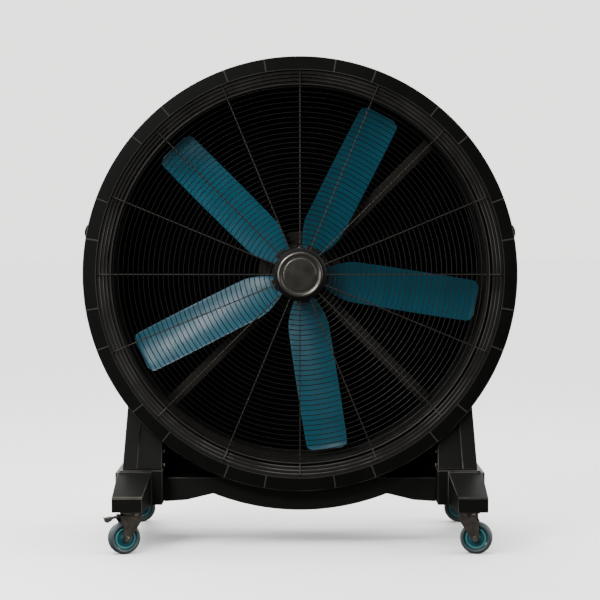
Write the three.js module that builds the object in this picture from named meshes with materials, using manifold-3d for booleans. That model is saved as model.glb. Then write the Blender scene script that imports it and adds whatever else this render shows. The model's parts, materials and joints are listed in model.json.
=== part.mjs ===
// Mobile drum fan: a direct-driven five-blade rotor in a flanged drum, on a wheeled stand.
// Millimetres, +Z up, floor at Z = 0. The air leaves through the front guard, towards -Y.
import * as THREE from 'three';
import { mergeVertices } from 'three/addons/utils/BufferGeometryUtils.js';
import Module from 'manifold-3d';

// ---- Driving dimensions ----

const CLEARANCE = 0.4;
const FAR = 1000;

// Drum: a barrel of three ribbed panels between two flanged rims.
const HUB_HEIGHT = 1065;
const FLANGE_RADIUS = 850;
const FLANGE_THICKNESS = 20;
const FLANGE_INNER = 796;
const DRUM_HALF_DEPTH = 220;
const BARREL_INNER = 738;
const BARREL_OUTER = 762;
const BARREL_HALF_DEPTH = 166;
const DRUM_SIDES = 48;
const PANEL_COUNT = 3;
const FIRST_PANEL = -30;
const RIB_COUNT = 18;
const RIB_TOP = 840;
const RIB_WIDTH = 60;
const RIB_HALF_LENGTH = 164;
const RIB_DRAFT = 18;
const KNUCKLE_OFFSET = 46;
const KNUCKLE_SLOT = 9;
const KNUCKLE_DEPTH = 26;
const SHOULDER = 176;
const BELL_STEP = 12;
const WEB_COUNT = 12;
const WEB_SPREAD = 9.5;
const WEB_WIDTH = 5;
const WEB_HEIGHT = 2.5;

// Wire guards: concentric rings on radial spokes, domed outwards.
const SEAT_INNER = 738;
const SEAT_OUTER = 750;
const SEAT_FACE = SHOULDER + CLEARANCE;
const SEAT_HEIGHT = 11;
const GUARD_EDGE = 188;
const GUARD_BULGE = 22;
const GUARD_HUB = 104;
const RING_PITCH = 19.8;
const RING_COUNT = 32;
const REAR_RING_COUNT = 11;
const WIRE = 5;
const SPOKE_COUNT = 16;
const SPOKE_DEPTH = 9;
const CAP_RADIUS = 98;
const SCREEN_THICKNESS = 1.2;

// Rotor: five paddles clamped between two discs on the motor shaft.
const ROTOR_Y = -75;
const BLADE_COUNT = 5;
const FIRST_BLADE = 63;
const BLADE_ROOT = 101;
const BLADE_TIP = 710;
const BLADE_CAMBER = 0.07;
const BLADE_THICKNESS = 9;
const PAD_HALF = 9.5;
const PAD_WIDTH = 56;
const CLAMP_RADIUS = 98;
const SHAFT_RADIUS = 20;
const HUB_TAIL = 44;

// Motor and the four arms that carry it.
const MOTOR_FRONT = -20;
const MOTOR_RADIUS = 125;
const MOTOR_NECK = 93;
const MOUNT_FACE = 45;
const MOUNT_THICKNESS = 12;
const MOUNT_RADIUS = 168;
const ARM_END = 736;
const ARM_DEPTH = 40;
const ARM_WIDTH = 50;

// Stand: two wheeled feet, a tower on each and a saddle between them.
const TOWER_INNER = 542;
const TOWER_BASE_OUTER = 697;
const TOWER_TOP_OUTER = 677;
const TOWER_TOP = 548;
const TOWER_BASE_HALF = 215;
const TOWER_TOP_HALF = 190;
const PANEL_BASE = 640;
const PANEL_TOP = 621;
const PANEL_SETBACK = 7;
const RECESS_OFFSET = 66;
const RECESS_WIDTH = 42;
const RECESS_DEPTH = 24;
const FOOT_BOTTOM = 165;
const FOOT_TOP = 300;
const FOOT_HALF_LENGTH = 445;
const FOOT_BLOCK = 250;
const FOOT_INNER = 538;
const FOOT_OUTER = 722;
const ARM_TOE_HEIGHT = 218;
const SADDLE_HALF_DEPTH = 150;
const CRADLE_RADIUS = 832;
const SADDLE_BELLY = 935;
const SADDLE_DECK = 259;
const BELLY_HALF = 344;
const WING_START = 450;

// Castors, one under each end of each foot.
const CASTOR_X = 645;
const CASTOR_Y = 382;
const CASTOR_TRAIL = 32;
const WHEEL_RADIUS = 62.5;
const WHEEL_SIDES = 18;
const AXLE_HEIGHT = WHEEL_RADIUS * Math.cos(Math.PI / WHEEL_SIDES);
const WHEEL_HALF = 22;
const FORK_GAP = 26;
const FORK_HALF = 31;
const AXLE_RADIUS = 6;
const SWIVEL_PIN = 9;
const FORK_CROWN = 150;
const FORK_HEAD = 157.6;
const PEDAL_PIVOT_X = 44;
const PEDAL_PIVOT_Z = 141;
const PEDAL_PIN = 3.8;

// Side fittings: push bars, control box and the motor cable.
const BAR_ANGLE = 11.5;
const BAR_DISTANCE = 822;
const BAR_RADIUS = 28;
const BAR_FRONT = -62;
const SPINDLE_FLANGE = 44;
const BOX_ANGLE = 36.5;
const BOX_HALF_WIDTH = 76;
const BOX_FRONT = 4;
const BOX_REAR = 196;
const BOX_FRONT_HEIGHT = 850;
const BOX_REAR_HEIGHT = 866;
const CLEAT_ANGLE = 20;
const CLEAT_Y = 122;
const CLEAT_RADIUS = 24;
const CABLE_RADIUS = 4;
const CABLE_SIDES = 6;
const CABLE_STEP = 10.5;
const COIL_TURNS = 2.5;
const COIL_INNER = 29.5;
const COIL_PITCH = 9.2;
const COIL_LIFT = 846;
const COIL_CLIMB = 0.35;
const CROSS_LIFT = 10;

// ---- Finishes ----

const finish = (color, roughness, metalness) => new THREE.MeshStandardMaterial(
  { color, roughness, metalness, flatShading: true });
const DRUM_PLASTIC = finish(0x1c1d1e, 0.45, 0);
const STAND_PLASTIC = finish(0x232426, 0.5, 0);
const WIRE_COAT = finish(0x3a3b3d, 0.4, 0.6);
const BLADE_COAT = finish(0x14627a, 0.35, 0.1);
const CAP_METAL = finish(0x8c8d8e, 0.35, 0.8);
const CAST_ALLOY = finish(0x5b5c5c, 0.5, 0.8);
const ZINC = finish(0x9a9b97, 0.4, 0.9);
const BLACK_RUBBER = finish(0x111213, 0.8, 0);
const BAR_COAT = finish(0x77787a, 0.45, 0.3);
const TYRE = finish(0x6f7a7c, 0.6, 0);
const WHEEL_PLASTIC = finish(0x10798c, 0.4, 0);
const SCREEN_GLASS = finish(0xa8e0d0, 0.2, 0);
const BEZEL_PLASTIC = finish(0x0f4a4a, 0.35, 0);

// ---- Shapes, each a closed geometry ----

const radians = THREE.MathUtils.degToRad;

const PLANES = {
  XY: [[1, 0, 0], [0, 1, 0], [0, 0, 1]],
  XZ: [[1, 0, 0], [0, 0, 1], [0, -1, 0]],
  YZ: [[0, 1, 0], [0, 0, 1], [1, 0, 0]],
};

// An outline in the named plane, drawn out along the third axis between two places.
function extrude(outline, plane, from, to) {
  const shape = outline instanceof THREE.Shape
    ? outline
    : new THREE.Shape(outline.map(([u, v]) => new THREE.Vector2(u, v)));
  const geometry = new THREE.ExtrudeGeometry(
    shape, { depth: to - from, bevelEnabled: false, curveSegments: 12 });
  const axes = PLANES[plane].map((axis) => new THREE.Vector3(...axis));
  geometry.applyMatrix4(new THREE.Matrix4().makeBasis(...axes));
  const start = plane === 'XZ' ? to : from;
  const along = { XY: [0, 0, start], XZ: [0, start, 0], YZ: [start, 0, 0] }[plane];
  return geometry.translate(...along);
}

function box([x0, x1], [y0, y1], [z0, z1]) {
  const geometry = new THREE.BoxGeometry(x1 - x0, y1 - y0, z1 - z0);
  return geometry.translate((x0 + x1) / 2, (y0 + y1) / 2, (z0 + z1) / 2);
}

// A [radius, y] profile turned about the Y axis; a profile off the axis closes on itself.
function revolve(profile, sides) {
  const onAxis = profile[0][0] === 0;
  const closed = onAxis ? profile : [...profile, profile[0]];
  return new THREE.LatheGeometry(closed.map(([r, y]) => new THREE.Vector2(r, y)), sides);
}

function cylinder(radius, from, to, sides) {
  return new THREE.CylinderGeometry(radius, radius, to - from, sides).translate(0, (from + to) / 2, 0);
}

// A post standing on the XY plane.
function post(radius, from, to, sides) {
  return cylinder(radius, 0, to - from, sides).rotateX(Math.PI / 2).translate(0, 0, from);
}

// Turns what was modelled at the top of the drum to an angle counted from +X, seen from the front.
const toAngle = (geometry, angle) => geometry.rotateY(Math.PI / 2 - radians(angle));

// ---- Cutting and joining ----

const wasm = await Module();
wasm.setup();

function toSolid(geometry) {
  const bare = geometry.clone();
  bare.deleteAttribute('normal');
  bare.deleteAttribute('uv');
  const merged = mergeVertices(bare, 1e-3);
  const corners = merged.index.array;
  const triangles = [];
  for (let i = 0; i < corners.length; i += 3) {
    const [a, b, c] = corners.slice(i, i + 3);
    if (a !== b && b !== c && c !== a) triangles.push(a, b, c);
  }
  const points = merged.attributes.position;
  const place = (i) => new THREE.Vector3().fromBufferAttribute(points, i);
  let volume = 0;
  for (let i = 0; i < triangles.length; i += 3) {
    const [a, b, c] = triangles.slice(i, i + 3).map(place);
    volume += a.dot(b.cross(c));
  }
  if (volume < 0) triangles.reverse();
  return new wasm.Manifold(new wasm.Mesh({
    numProp: 3,
    vertProperties: Float32Array.from(points.array),
    triVerts: Uint32Array.from(triangles),
  }));
}

function toGeometry(solid) {
  const mesh = solid.getMesh();
  const geometry = new THREE.BufferGeometry();
  geometry.setAttribute('position', new THREE.BufferAttribute(mesh.vertProperties, 3));
  geometry.setIndex(new THREE.BufferAttribute(mesh.triVerts, 1));
  return geometry;
}

const join = (...parts) => toGeometry(parts.map(toSolid).reduce((sum, part) => sum.add(part)));
const common = (a, b) => toGeometry(toSolid(a).intersect(toSolid(b)));
const cut = (base, ...tools) => toGeometry(
  tools.map(toSolid).reduce((rest, tool) => rest.subtract(tool), toSolid(base)));

function piece(name, geometry, material) {
  const mesh = new THREE.Mesh(toGeometry(toSolid(geometry)), material);
  mesh.name = name;
  mesh.geometry.computeVertexNormals();
  return mesh;
}

function group(...children) {
  const holder = new THREE.Group();
  holder.add(...children);
  return holder;
}

// ---- Drum ----

// A box rib across the channel with drafted ends; slack swells it to cut a seat for itself.
function drumRib(angle, slack = 0) {
  const foot = RIB_HALF_LENGTH + slack;
  const head = RIB_HALF_LENGTH - RIB_DRAFT + slack;
  const outline = [[-foot, BARREL_OUTER - 10], [foot, BARREL_OUTER - 10], [head, RIB_TOP + slack],
    [-head, RIB_TOP + slack]];
  return toAngle(extrude(outline, 'YZ', -RIB_WIDTH / 2 - slack, RIB_WIDTH / 2 + slack), angle);
}

// Two slots that part a rib into three knuckles, as on the ribs level with the hub.
function knuckleSlots(angle) {
  return [-KNUCKLE_OFFSET, KNUCKLE_OFFSET].map((y) => toAngle(
    box([-RIB_WIDTH, RIB_WIDTH], [y - KNUCKLE_SLOT / 2, y + KNUCKLE_SLOT / 2],
      [RIB_TOP - KNUCKLE_DEPTH, RIB_TOP + 1]), angle));
}

// The bobbin that the spare cable is wound on, standing on one rib.
function cableCleat() {
  const profile = [[0, RIB_TOP - 5], [CLEAT_RADIUS, RIB_TOP - 5], [CLEAT_RADIUS, RIB_TOP + 1],
    [CLEAT_RADIUS, RIB_TOP + 14], [0, RIB_TOP + 14]];
  return toAngle(revolve(profile, 12).rotateX(Math.PI / 2).translate(0, CLEAT_Y, 0), CLEAT_ANGLE);
}

function drumPanels() {
  const half = BARREL_HALF_DEPTH;
  const ribs = [];
  for (let i = 0; i < RIB_COUNT; i += 1) ribs.push(drumRib((360 / RIB_COUNT) * i));
  const trimmed = cut(join(...ribs, cableCleat()), ...knuckleSlots(0), ...knuckleSlots(180),
    controlBoxBlank(CLEARANCE));
  const barrel = revolve([[BARREL_INNER, -half], [BARREL_OUTER, -half], [BARREL_OUTER, half],
    [BARREL_INNER, half]], DRUM_SIDES);
  const whole = join(barrel, trimmed);
  const spread = FAR * Math.tan(Math.PI / PANEL_COUNT);
  return ['right', 'top', 'left'].map((side, i) => {
    const wedge = extrude([[0, CLEARANCE / 2], [spread, FAR], [-spread, FAR]], 'XZ', -FAR, FAR);
    const panel = common(whole, toAngle(wedge, FIRST_PANEL + (360 / PANEL_COUNT) * i));
    return piece(`drum_panel_${side}`, panel, DRUM_PLASTIC);
  });
}

// Front rim: flat flange with raised webs, then a bell mouth stepped down to the guard's seat.
function frontRim() {
  const face = DRUM_HALF_DEPTH;
  const stepped = [[FLANGE_RADIUS, -face], [FLANGE_INNER + 2, -face]];
  for (let i = 0; i < 3; i += 1) {
    const radius = FLANGE_INNER - i * (BELL_STEP + 1);
    const y = -face + BELL_STEP + 10 * i;
    stepped.push([radius, y], [radius - BELL_STEP - 1, y]);
  }
  stepped.push([BARREL_INNER + 18, -SHOULDER], [BARREL_INNER - 3, -SHOULDER]);
  const webs = [];
  for (let i = 0; i < WEB_COUNT; i += 1) {
    for (const side of [-1, 1]) {
      const web = box([-WEB_WIDTH / 2, WEB_WIDTH / 2], [-face - WEB_HEIGHT, -face + 5],
        [FLANGE_INNER + 5, FLANGE_RADIUS - 5]);
      webs.push(toAngle(web, (360 / WEB_COUNT) * i + side * WEB_SPREAD));
    }
  }
  return piece('front_rim', join(revolve([...stepped, ...rimBack(-1)], DRUM_SIDES), ...webs),
    DRUM_PLASTIC);
}

// Rear rim: the same flange with a plain conical mouth.
function rearRim() {
  const profile = [[FLANGE_RADIUS, DRUM_HALF_DEPTH], [FLANGE_INNER, DRUM_HALF_DEPTH],
    [BARREL_INNER + 22, SHOULDER + 12], [BARREL_INNER + 18, SHOULDER], [BARREL_INNER - 3, SHOULDER]];
  return piece('rear_rim', revolve([...profile, ...rimBack(1)], DRUM_SIDES), DRUM_PLASTIC);
}

// The side of a rim that faces the channel: it butts on the barrel and slopes up to the flange.
function rimBack(side) {
  const butt = side * (BARREL_HALF_DEPTH + CLEARANCE);
  const back = side * (DRUM_HALF_DEPTH - FLANGE_THICKNESS);
  return [[BARREL_INNER - 3, butt], [BARREL_OUTER + 6, butt], [BARREL_OUTER + 28, back],
    [FLANGE_RADIUS, back]];
}

// ---- Wire guards ----

const domeHeight = (radius) => GUARD_EDGE + GUARD_BULGE * (1 - (radius / SEAT_OUTER) ** 2);

// Even number of sides that keeps the flats of a ring within the given sag of its arc.
const ringSides = (radius, sag) => 2 * Math.ceil((Math.PI / 2) * Math.sqrt(radius / (2 * sag)));

// One wire ring, three-sided, pointing outwards; modelled on the rear side, towards +Y.
function wireRing(radius, sag) {
  const y = domeHeight(radius);
  return revolve([[radius - WIRE / 2, y - WIRE / 2], [radius, y + WIRE / 2],
    [radius + WIRE / 2, y - WIRE / 2]], ringSides(radius, sag));
}

// A spoke bent along the dome: the tie bars take the rings through them, the rest lie behind.
function spoke(angle, ties) {
  const stops = [GUARD_HUB - 12, 420, (SEAT_INNER + SEAT_OUTER) / 2];
  const [low, high] = ties ? [-SPOKE_DEPTH / 2, SPOKE_DEPTH / 2] : [-WIRE * 1.75, -WIRE * 0.75];
  const outer = stops.map((r) => [domeHeight(r) + high, r]);
  const inner = stops.map((r) => [domeHeight(r) + low, r]).reverse();
  return toAngle(extrude([...inner, ...outer], 'YZ', -WIRE / 2, WIRE / 2), angle);
}

function guard(radii, spokes, sag) {
  const hubFace = domeHeight(GUARD_HUB) + 5;
  const plate = cylinder(GUARD_HUB, hubFace - 11, hubFace, 20);
  const seat = revolve([[SEAT_INNER, SEAT_FACE], [SEAT_OUTER, SEAT_FACE],
    [SEAT_OUTER, SEAT_FACE + SEAT_HEIGHT], [SEAT_INNER, SEAT_FACE + SEAT_HEIGHT]], 32);
  const rings = radii.map((radius) => wireRing(radius, sag));
  const bars = [];
  for (let i = 0; i < spokes; i += 1) {
    const angle = (360 / spokes) * i;
    bars.push(spoke(angle, angle % 180 === 90));
  }
  return join(plate, seat, ...bars, ...rings);
}

function frontGuard() {
  const radii = [];
  for (let i = 1; i <= RING_COUNT; i += 1) radii.push(100 + i * RING_PITCH);
  return piece('front_guard', guard(radii, SPOKE_COUNT, 5.5).rotateZ(Math.PI), WIRE_COAT);
}

function rearGuard() {
  const radii = [];
  const pitch = (SEAT_INNER - GUARD_HUB) / (REAR_RING_COUNT + 1);
  for (let i = 1; i <= REAR_RING_COUNT; i += 1) radii.push(GUARD_HUB + i * pitch);
  return piece('rear_guard', guard(radii, SPOKE_COUNT / 2, 9), WIRE_COAT);
}

// The fine dust screen inside the rear guard's seat ring, drawn as a plain thin sheet.
function dustScreen() {
  const screen = cylinder(SEAT_INNER - CLEARANCE, SEAT_FACE, SEAT_FACE + SCREEN_THICKNESS, 32);
  return piece('dust_screen', screen, BLACK_RUBBER);
}

// Turned cap on the middle of the front guard, with a raised ring and a sunk face.
function guardCap() {
  const seat = -(domeHeight(GUARD_HUB) + 5 + CLEARANCE);
  const profile = [[0, seat], [CAP_RADIUS, seat], [CAP_RADIUS, seat - 4], [84, seat - 7],
    [82, seat - 13], [76, seat - 13], [72, seat - 8], [63, seat - 8], [60, seat - 11],
    [0, seat - 11]];
  return piece('guard_cap', revolve(profile, 24), CAP_METAL);
}

// ---- Rotor, modelled about its own centre ----

// Chord and pitch along a blade: narrow at the clamp, full width from a third of the way out.
const bladeFlare = (along) => Math.min(1, along / 0.2);
const bladeChord = (along) => 92 + 84 * Math.sin((Math.PI / 2) * bladeFlare(along)) - 8 * along ** 3;
const bladePitch = (along) => radians(30 - 17 * Math.sqrt(along));

// A thin cambered section drawn out along the radius, then widened and twisted at each station.
function bladeGeometry() {
  const section = [[-0.5, 0], [-0.25, 0.75], [0.1, 1], [0.5, 0.12]];
  const top = section.map(([u, t]) => [u, BLADE_CAMBER * (1 - 4 * u * u), t]);
  const outline = [...top, ...top.slice(1).reverse().map(([u, rise, t]) => [u, rise, -t])];
  const shape = new THREE.Shape(outline.map(([u, rise, t]) => new THREE.Vector2(u, rise + t * 0.001)));
  const length = BLADE_TIP - BLADE_ROOT;
  const geometry = new THREE.ExtrudeGeometry(shape, { depth: length, steps: 8, bevelEnabled: false });
  const points = geometry.attributes.position;
  for (let i = 0; i < points.count; i += 1) {
    const u = points.getX(i);
    const along = points.getZ(i) / length;
    const rise = BLADE_CAMBER * (1 - 4 * u * u);
    const chord = bladeChord(along);
    const across = chord * u;
    const lift = chord * rise + ((points.getY(i) - rise) / 0.001) * (BLADE_THICKNESS / 2);
    const pitch = bladePitch(along);
    points.setXYZ(i, across * Math.cos(pitch) - lift * Math.sin(pitch),
      across * Math.sin(pitch) + lift * Math.cos(pitch), BLADE_ROOT + points.getZ(i));
  }
  return geometry;
}

function blade(index) {
  const pad = box([-PAD_WIDTH / 2, PAD_WIDTH / 2], [-PAD_HALF, PAD_HALF], [52, BLADE_ROOT + 14]);
  const geometry = toAngle(join(bladeGeometry(), pad), FIRST_BLADE + (360 / BLADE_COUNT) * index);
  return piece(`blade_${index + 1}`, geometry, BLADE_COAT);
}

function rotor() {
  const behind = PAD_HALF + CLEARANCE;
  const hub = revolve([[SHAFT_RADIUS + CLEARANCE, -behind + CLEARANCE],
    [46, -behind + CLEARANCE], [46, behind], [CLAMP_RADIUS, behind], [CLAMP_RADIUS, behind + 12],
    [52, behind + 12], [46, HUB_TAIL], [SHAFT_RADIUS + CLEARANCE, HUB_TAIL]], 20);
  const front = revolve([[0, -behind], [CLAMP_RADIUS, -behind], [CLAMP_RADIUS, -behind - 10],
    [60, -behind - 14], [0, -behind - 14]], 20);
  const shaft = cylinder(SHAFT_RADIUS, -behind + CLEARANCE, MOUNT_FACE - ROTOR_Y - 10, 20);
  const blades = [];
  for (let i = 0; i < BLADE_COUNT; i += 1) blades.push(blade(i));
  const turning = group(piece('rotor_hub', hub, CAST_ALLOY), piece('hub_plate', front, CAST_ALLOY),
    piece('motor_shaft', shaft, ZINC), ...blades);
  turning.position.y = ROTOR_Y;
  return turning;
}

// ---- Motor ----

// A flat motor with its shaft bore open to the front and a spigot through the mounting plate.
function motorBody() {
  const bore = SHAFT_RADIUS + 1.5;
  const back = MOUNT_FACE + CLEARANCE + MOUNT_THICKNESS;
  const profile = [[0, back + 40], [70, back + 40], [MOTOR_NECK, back + 25], [MOTOR_NECK, MOUNT_FACE],
    [MOTOR_RADIUS, MOUNT_FACE], [MOTOR_RADIUS, MOTOR_FRONT + 12], [MOTOR_RADIUS - 12, MOTOR_FRONT],
    [bore, MOTOR_FRONT], [bore, MOUNT_FACE + 6], [0, MOUNT_FACE + 6]];
  return piece('motor_body', revolve(profile, 20), CAST_ALLOY);
}

function motorPlate() {
  const front = MOUNT_FACE + CLEARANCE;
  const profile = [[MOTOR_NECK + 1, front], [MOUNT_RADIUS, front],
    [MOUNT_RADIUS, front + MOUNT_THICKNESS], [MOTOR_NECK + 1, front + MOUNT_THICKNESS]];
  return piece('motor_plate', revolve(profile, 20), CAST_ALLOY);
}

// A flat-sided arm from the motor to the barrel, bolted to the front of the mounting plate.
function motorArm(index) {
  const back = MOUNT_FACE;
  const front = back - ARM_DEPTH;
  const side = extrude([[front, MOTOR_RADIUS + 2], [back, MOTOR_RADIUS + 2], [back, ARM_END],
    [front + 12, ARM_END], [front, ARM_END - 90]], 'YZ', -ARM_WIDTH / 2, ARM_WIDTH / 2);
  return piece(`motor_arm_${index + 1}`, toAngle(side, 45 + 90 * index), CAST_ALLOY);
}

// ---- Side fittings on the drum ----

// A plain bar from the rear flange to a waisted spindle against the front flange.
function pushBar(side, angle) {
  const back = DRUM_HALF_DEPTH - FLANGE_THICKNESS - CLEARANCE;
  const bar = piece(`push_bar_${side}`, cylinder(BAR_RADIUS, BAR_FRONT, back, 18), BAR_COAT);
  const disc = BAR_FRONT - CLEARANCE;
  const waist = SPINDLE_FLANGE / 2;
  const profile = [[0, -back], [30, -back], [30, -150], [SPINDLE_FLANGE, -145], [SPINDLE_FLANGE, -138],
    [waist, -135], [waist, disc - 34], [SPINDLE_FLANGE - 2, disc - 34], [SPINDLE_FLANGE, disc - 30],
    [SPINDLE_FLANGE, disc], [0, disc]];
  const spindle = piece(`bar_spindle_${side}`, revolve(profile, 12), BLACK_RUBBER);
  const fitting = group(bar, spindle);
  fitting.position.set(BAR_DISTANCE * Math.cos(radians(angle)), 0, BAR_DISTANCE * Math.sin(radians(angle)));
  return fitting;
}

// The control box's outer shape, from inside the barrel wall out; slack swells it to clear the rib.
function controlBoxBlank(slack = 0) {
  const outline = [[BOX_FRONT - slack, BARREL_INNER], [BOX_REAR + slack, BARREL_INNER],
    [BOX_REAR + slack, BOX_REAR_HEIGHT], [BOX_FRONT - slack, BOX_FRONT_HEIGHT]];
  const half = BOX_HALF_WIDTH + slack;
  return toAngle(extrude(outline, 'YZ', -half, half), BOX_ANGLE);
}

// A bezel with a window, and the screen seated in it, both on the box's sloping face.
function controlBox() {
  const around = revolve([[BARREL_INNER, -190], [BARREL_OUTER + CLEARANCE, -190],
    [BARREL_OUTER + CLEARANCE, BARREL_HALF_DEPTH + CLEARANCE / 2],
    [BARREL_OUTER + 6 + CLEARANCE, BARREL_HALF_DEPTH + CLEARANCE / 2],
    [BARREL_OUTER + 28 + CLEARANCE, 200], [BARREL_INNER, 200]], DRUM_SIDES);
  const shell = cut(controlBoxBlank(), around);
  const slope = Math.atan2(BOX_REAR_HEIGHT - BOX_FRONT_HEIGHT, BOX_REAR - BOX_FRONT);
  const window = box([-50, 50], [-48, 72], [-1, 9]);
  const bezel = cut(box([-70, 70], [-88, 88], [0, 6]), window);
  const screen = box([-49.6, 49.6], [-47.6, 71.6], [0, 4]);
  const middle = (BOX_FRONT + BOX_REAR) / 2;
  const height = (BOX_FRONT_HEIGHT + BOX_REAR_HEIGHT) / 2 + CLEARANCE;
  const seat = (geometry) => toAngle(geometry.rotateX(slope).translate(0, middle, height), BOX_ANGLE);
  return [piece('control_box', shell, DRUM_PLASTIC), piece('display_bezel', seat(bezel), BEZEL_PLASTIC),
    piece('display_screen', seat(screen), SCREEN_GLASS)];
}

// A place on the drum: height above the axis at an angle, then a step across it.
function onDrum(angle, height, y, across = 0) {
  const a = radians(angle);
  return new THREE.Vector3(height * Math.cos(a) + across * Math.sin(a), y,
    height * Math.sin(a) - across * Math.cos(a));
}

const BOX_GLAND = { height: 832, y: 150, length: 20 };
const DRUM_GLAND = { angle: 28.5, y: -110, length: 20 };

// Short cable glands: one under the control box, one on the barrel by the front flange.
function glands() {
  const profile = [[0, 0], [13, 0], [13, 9], [9, 12], [9, 20], [0, 20]];
  const box = revolve(profile, 10).rotateZ(-Math.PI / 2)
    .translate(BOX_HALF_WIDTH + CLEARANCE, BOX_GLAND.y, BOX_GLAND.height);
  const drum = revolve(profile, 10).rotateX(Math.PI / 2)
    .translate(0, DRUM_GLAND.y, BARREL_OUTER + CLEARANCE);
  return [piece('box_gland', toAngle(box, BOX_ANGLE), BLACK_RUBBER),
    piece('drum_gland', toAngle(drum, DRUM_GLAND.angle), BLACK_RUBBER)];
}

// The cable's route: box gland, inwards round the cleat, out over the turns, drum gland.
function cableRoute() {
  const reach = BOX_HALF_WIDTH + BOX_GLAND.length + 2 * CLEARANCE;
  const points = [onDrum(BOX_ANGLE, BOX_GLAND.height, BOX_GLAND.y, reach),
    onDrum(BOX_ANGLE, BOX_GLAND.height, BOX_GLAND.y, reach + 12)];
  const outer = COIL_INNER + COIL_PITCH * COIL_TURNS;
  points.push(onDrum(CLEAT_ANGLE, COIL_LIFT, CLEAT_Y + outer + 3, -34));
  const steps = 16;
  for (let i = 0; i <= COIL_TURNS * steps; i += 1) {
    const turned = i / steps;
    const radius = outer - COIL_PITCH * turned;
    const a = 2 * Math.PI * turned;
    const climb = Math.max(0, 1 - (COIL_TURNS - turned) / COIL_CLIMB);
    points.push(onDrum(CLEAT_ANGLE, COIL_LIFT + climb * CROSS_LIFT, CLEAT_Y + radius * Math.cos(a),
      radius * Math.sin(a)));
  }
  points.push(onDrum(CLEAT_ANGLE, COIL_LIFT + CROSS_LIFT, CLEAT_Y - COIL_INNER - 6, -24));
  points.push(onDrum(25, 842, 30));
  points.push(onDrum(25.6, 828, -50));
  points.push(onDrum(27.2, 815, -100));
  points.push(onDrum(DRUM_GLAND.angle, BARREL_OUTER + CLEARANCE + DRUM_GLAND.length + 14, DRUM_GLAND.y));
  points.push(onDrum(DRUM_GLAND.angle, BARREL_OUTER + 2 * CLEARANCE + DRUM_GLAND.length, DRUM_GLAND.y));
  return new THREE.CatmullRomCurve3(points, false, 'centripetal');
}

function motorCable() {
  const corners = [];
  for (let i = 0; i < CABLE_SIDES; i += 1) {
    const a = ((2 * Math.PI) / CABLE_SIDES) * i;
    corners.push(new THREE.Vector2(CABLE_RADIUS * Math.cos(a), CABLE_RADIUS * Math.sin(a)));
  }
  const section = new THREE.Shape(corners);
  const route = cableRoute();
  const steps = Math.round(route.getLength() / CABLE_STEP);
  const tube = new THREE.ExtrudeGeometry(section, { extrudePath: route, steps, bevelEnabled: false });
  console.log(`cable ${route.getLength().toFixed(0)} mm, gap ${leastGap(route).toFixed(2)} mm`);
  return piece('motor_cable', tube, BLACK_RUBBER);
}

// Least gap between stretches of the cable that are more than a few diameters apart along it.
function leastGap(route) {
  const count = 700;
  const points = route.getSpacedPoints(count);
  const step = route.getLength() / count;
  const apart = Math.ceil((8 * CABLE_RADIUS) / step);
  let least = Infinity;
  for (let i = 0; i < points.length; i += 1) {
    for (let j = i + apart; j < points.length; j += 1) {
      least = Math.min(least, points[i].distanceTo(points[j]));
    }
  }
  return least - 2 * CABLE_RADIUS;
}

// ---- Stand, modelled on the right-hand side; the left is the same turned half round ----

// What the stand must clear: the channel floor with its ribs, and the two flanges.
function drumEnvelope() {
  const gap = FLANGE_RADIUS + 2;
  const inner = DRUM_HALF_DEPTH - FLANGE_THICKNESS - 1;
  const core = revolve([[0, -FAR], [gap, -FAR], [gap, -inner], [CRADLE_RADIUS, -inner],
    [CRADLE_RADIUS, inner], [gap, inner], [gap, FAR], [0, FAR]], DRUM_SIDES);
  return core.translate(0, 0, HUB_HEIGHT);
}

const ribSeat = (angle) => drumRib(angle, CLEARANCE).translate(0, 0, HUB_HEIGHT);

// A stretch of the tower between two slanting lines of its front face; the setback narrows it.
function towerSlice([baseInner, topInner], [baseOuter, topOuter], setback) {
  const foot = FOOT_TOP + CLEARANCE;
  const front = extrude([[baseInner, foot], [baseOuter, foot], [topOuter, TOWER_TOP],
    [topInner, TOWER_TOP]], 'XZ', -FAR, FAR);
  const base = TOWER_BASE_HALF - setback;
  const top = TOWER_TOP_HALF - setback;
  const side = extrude([[-base, FOOT_TOP], [base, FOOT_TOP], [top, TOWER_TOP], [-top, TOWER_TOP]],
    'YZ', 0, FAR);
  return common(front, side);
}

// A tapered tower with two recesses down its outer face, its inner half a step back from the outer
// half at the front and rear, notched for the drum and one of its ribs.
function tower() {
  const outer = towerSlice([PANEL_BASE, PANEL_TOP], [TOWER_BASE_OUTER, TOWER_TOP_OUTER], 0);
  const inner = towerSlice([TOWER_INNER, TOWER_INNER], [PANEL_BASE + 1, PANEL_TOP + 1], PANEL_SETBACK);
  const recesses = [-1, 1].map((hand) => extrude(
    [[TOWER_BASE_OUTER - RECESS_DEPTH, FOOT_TOP + 12], [FAR, FOOT_TOP + 12], [FAR, TOWER_TOP - 20],
      [TOWER_TOP_OUTER - RECESS_DEPTH, TOWER_TOP - 20]],
    'XZ', hand * RECESS_OFFSET - RECESS_WIDTH / 2, hand * RECESS_OFFSET + RECESS_WIDTH / 2));
  return cut(join(outer, inner), drumEnvelope(), ribSeat(-40), ...recesses);
}

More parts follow.
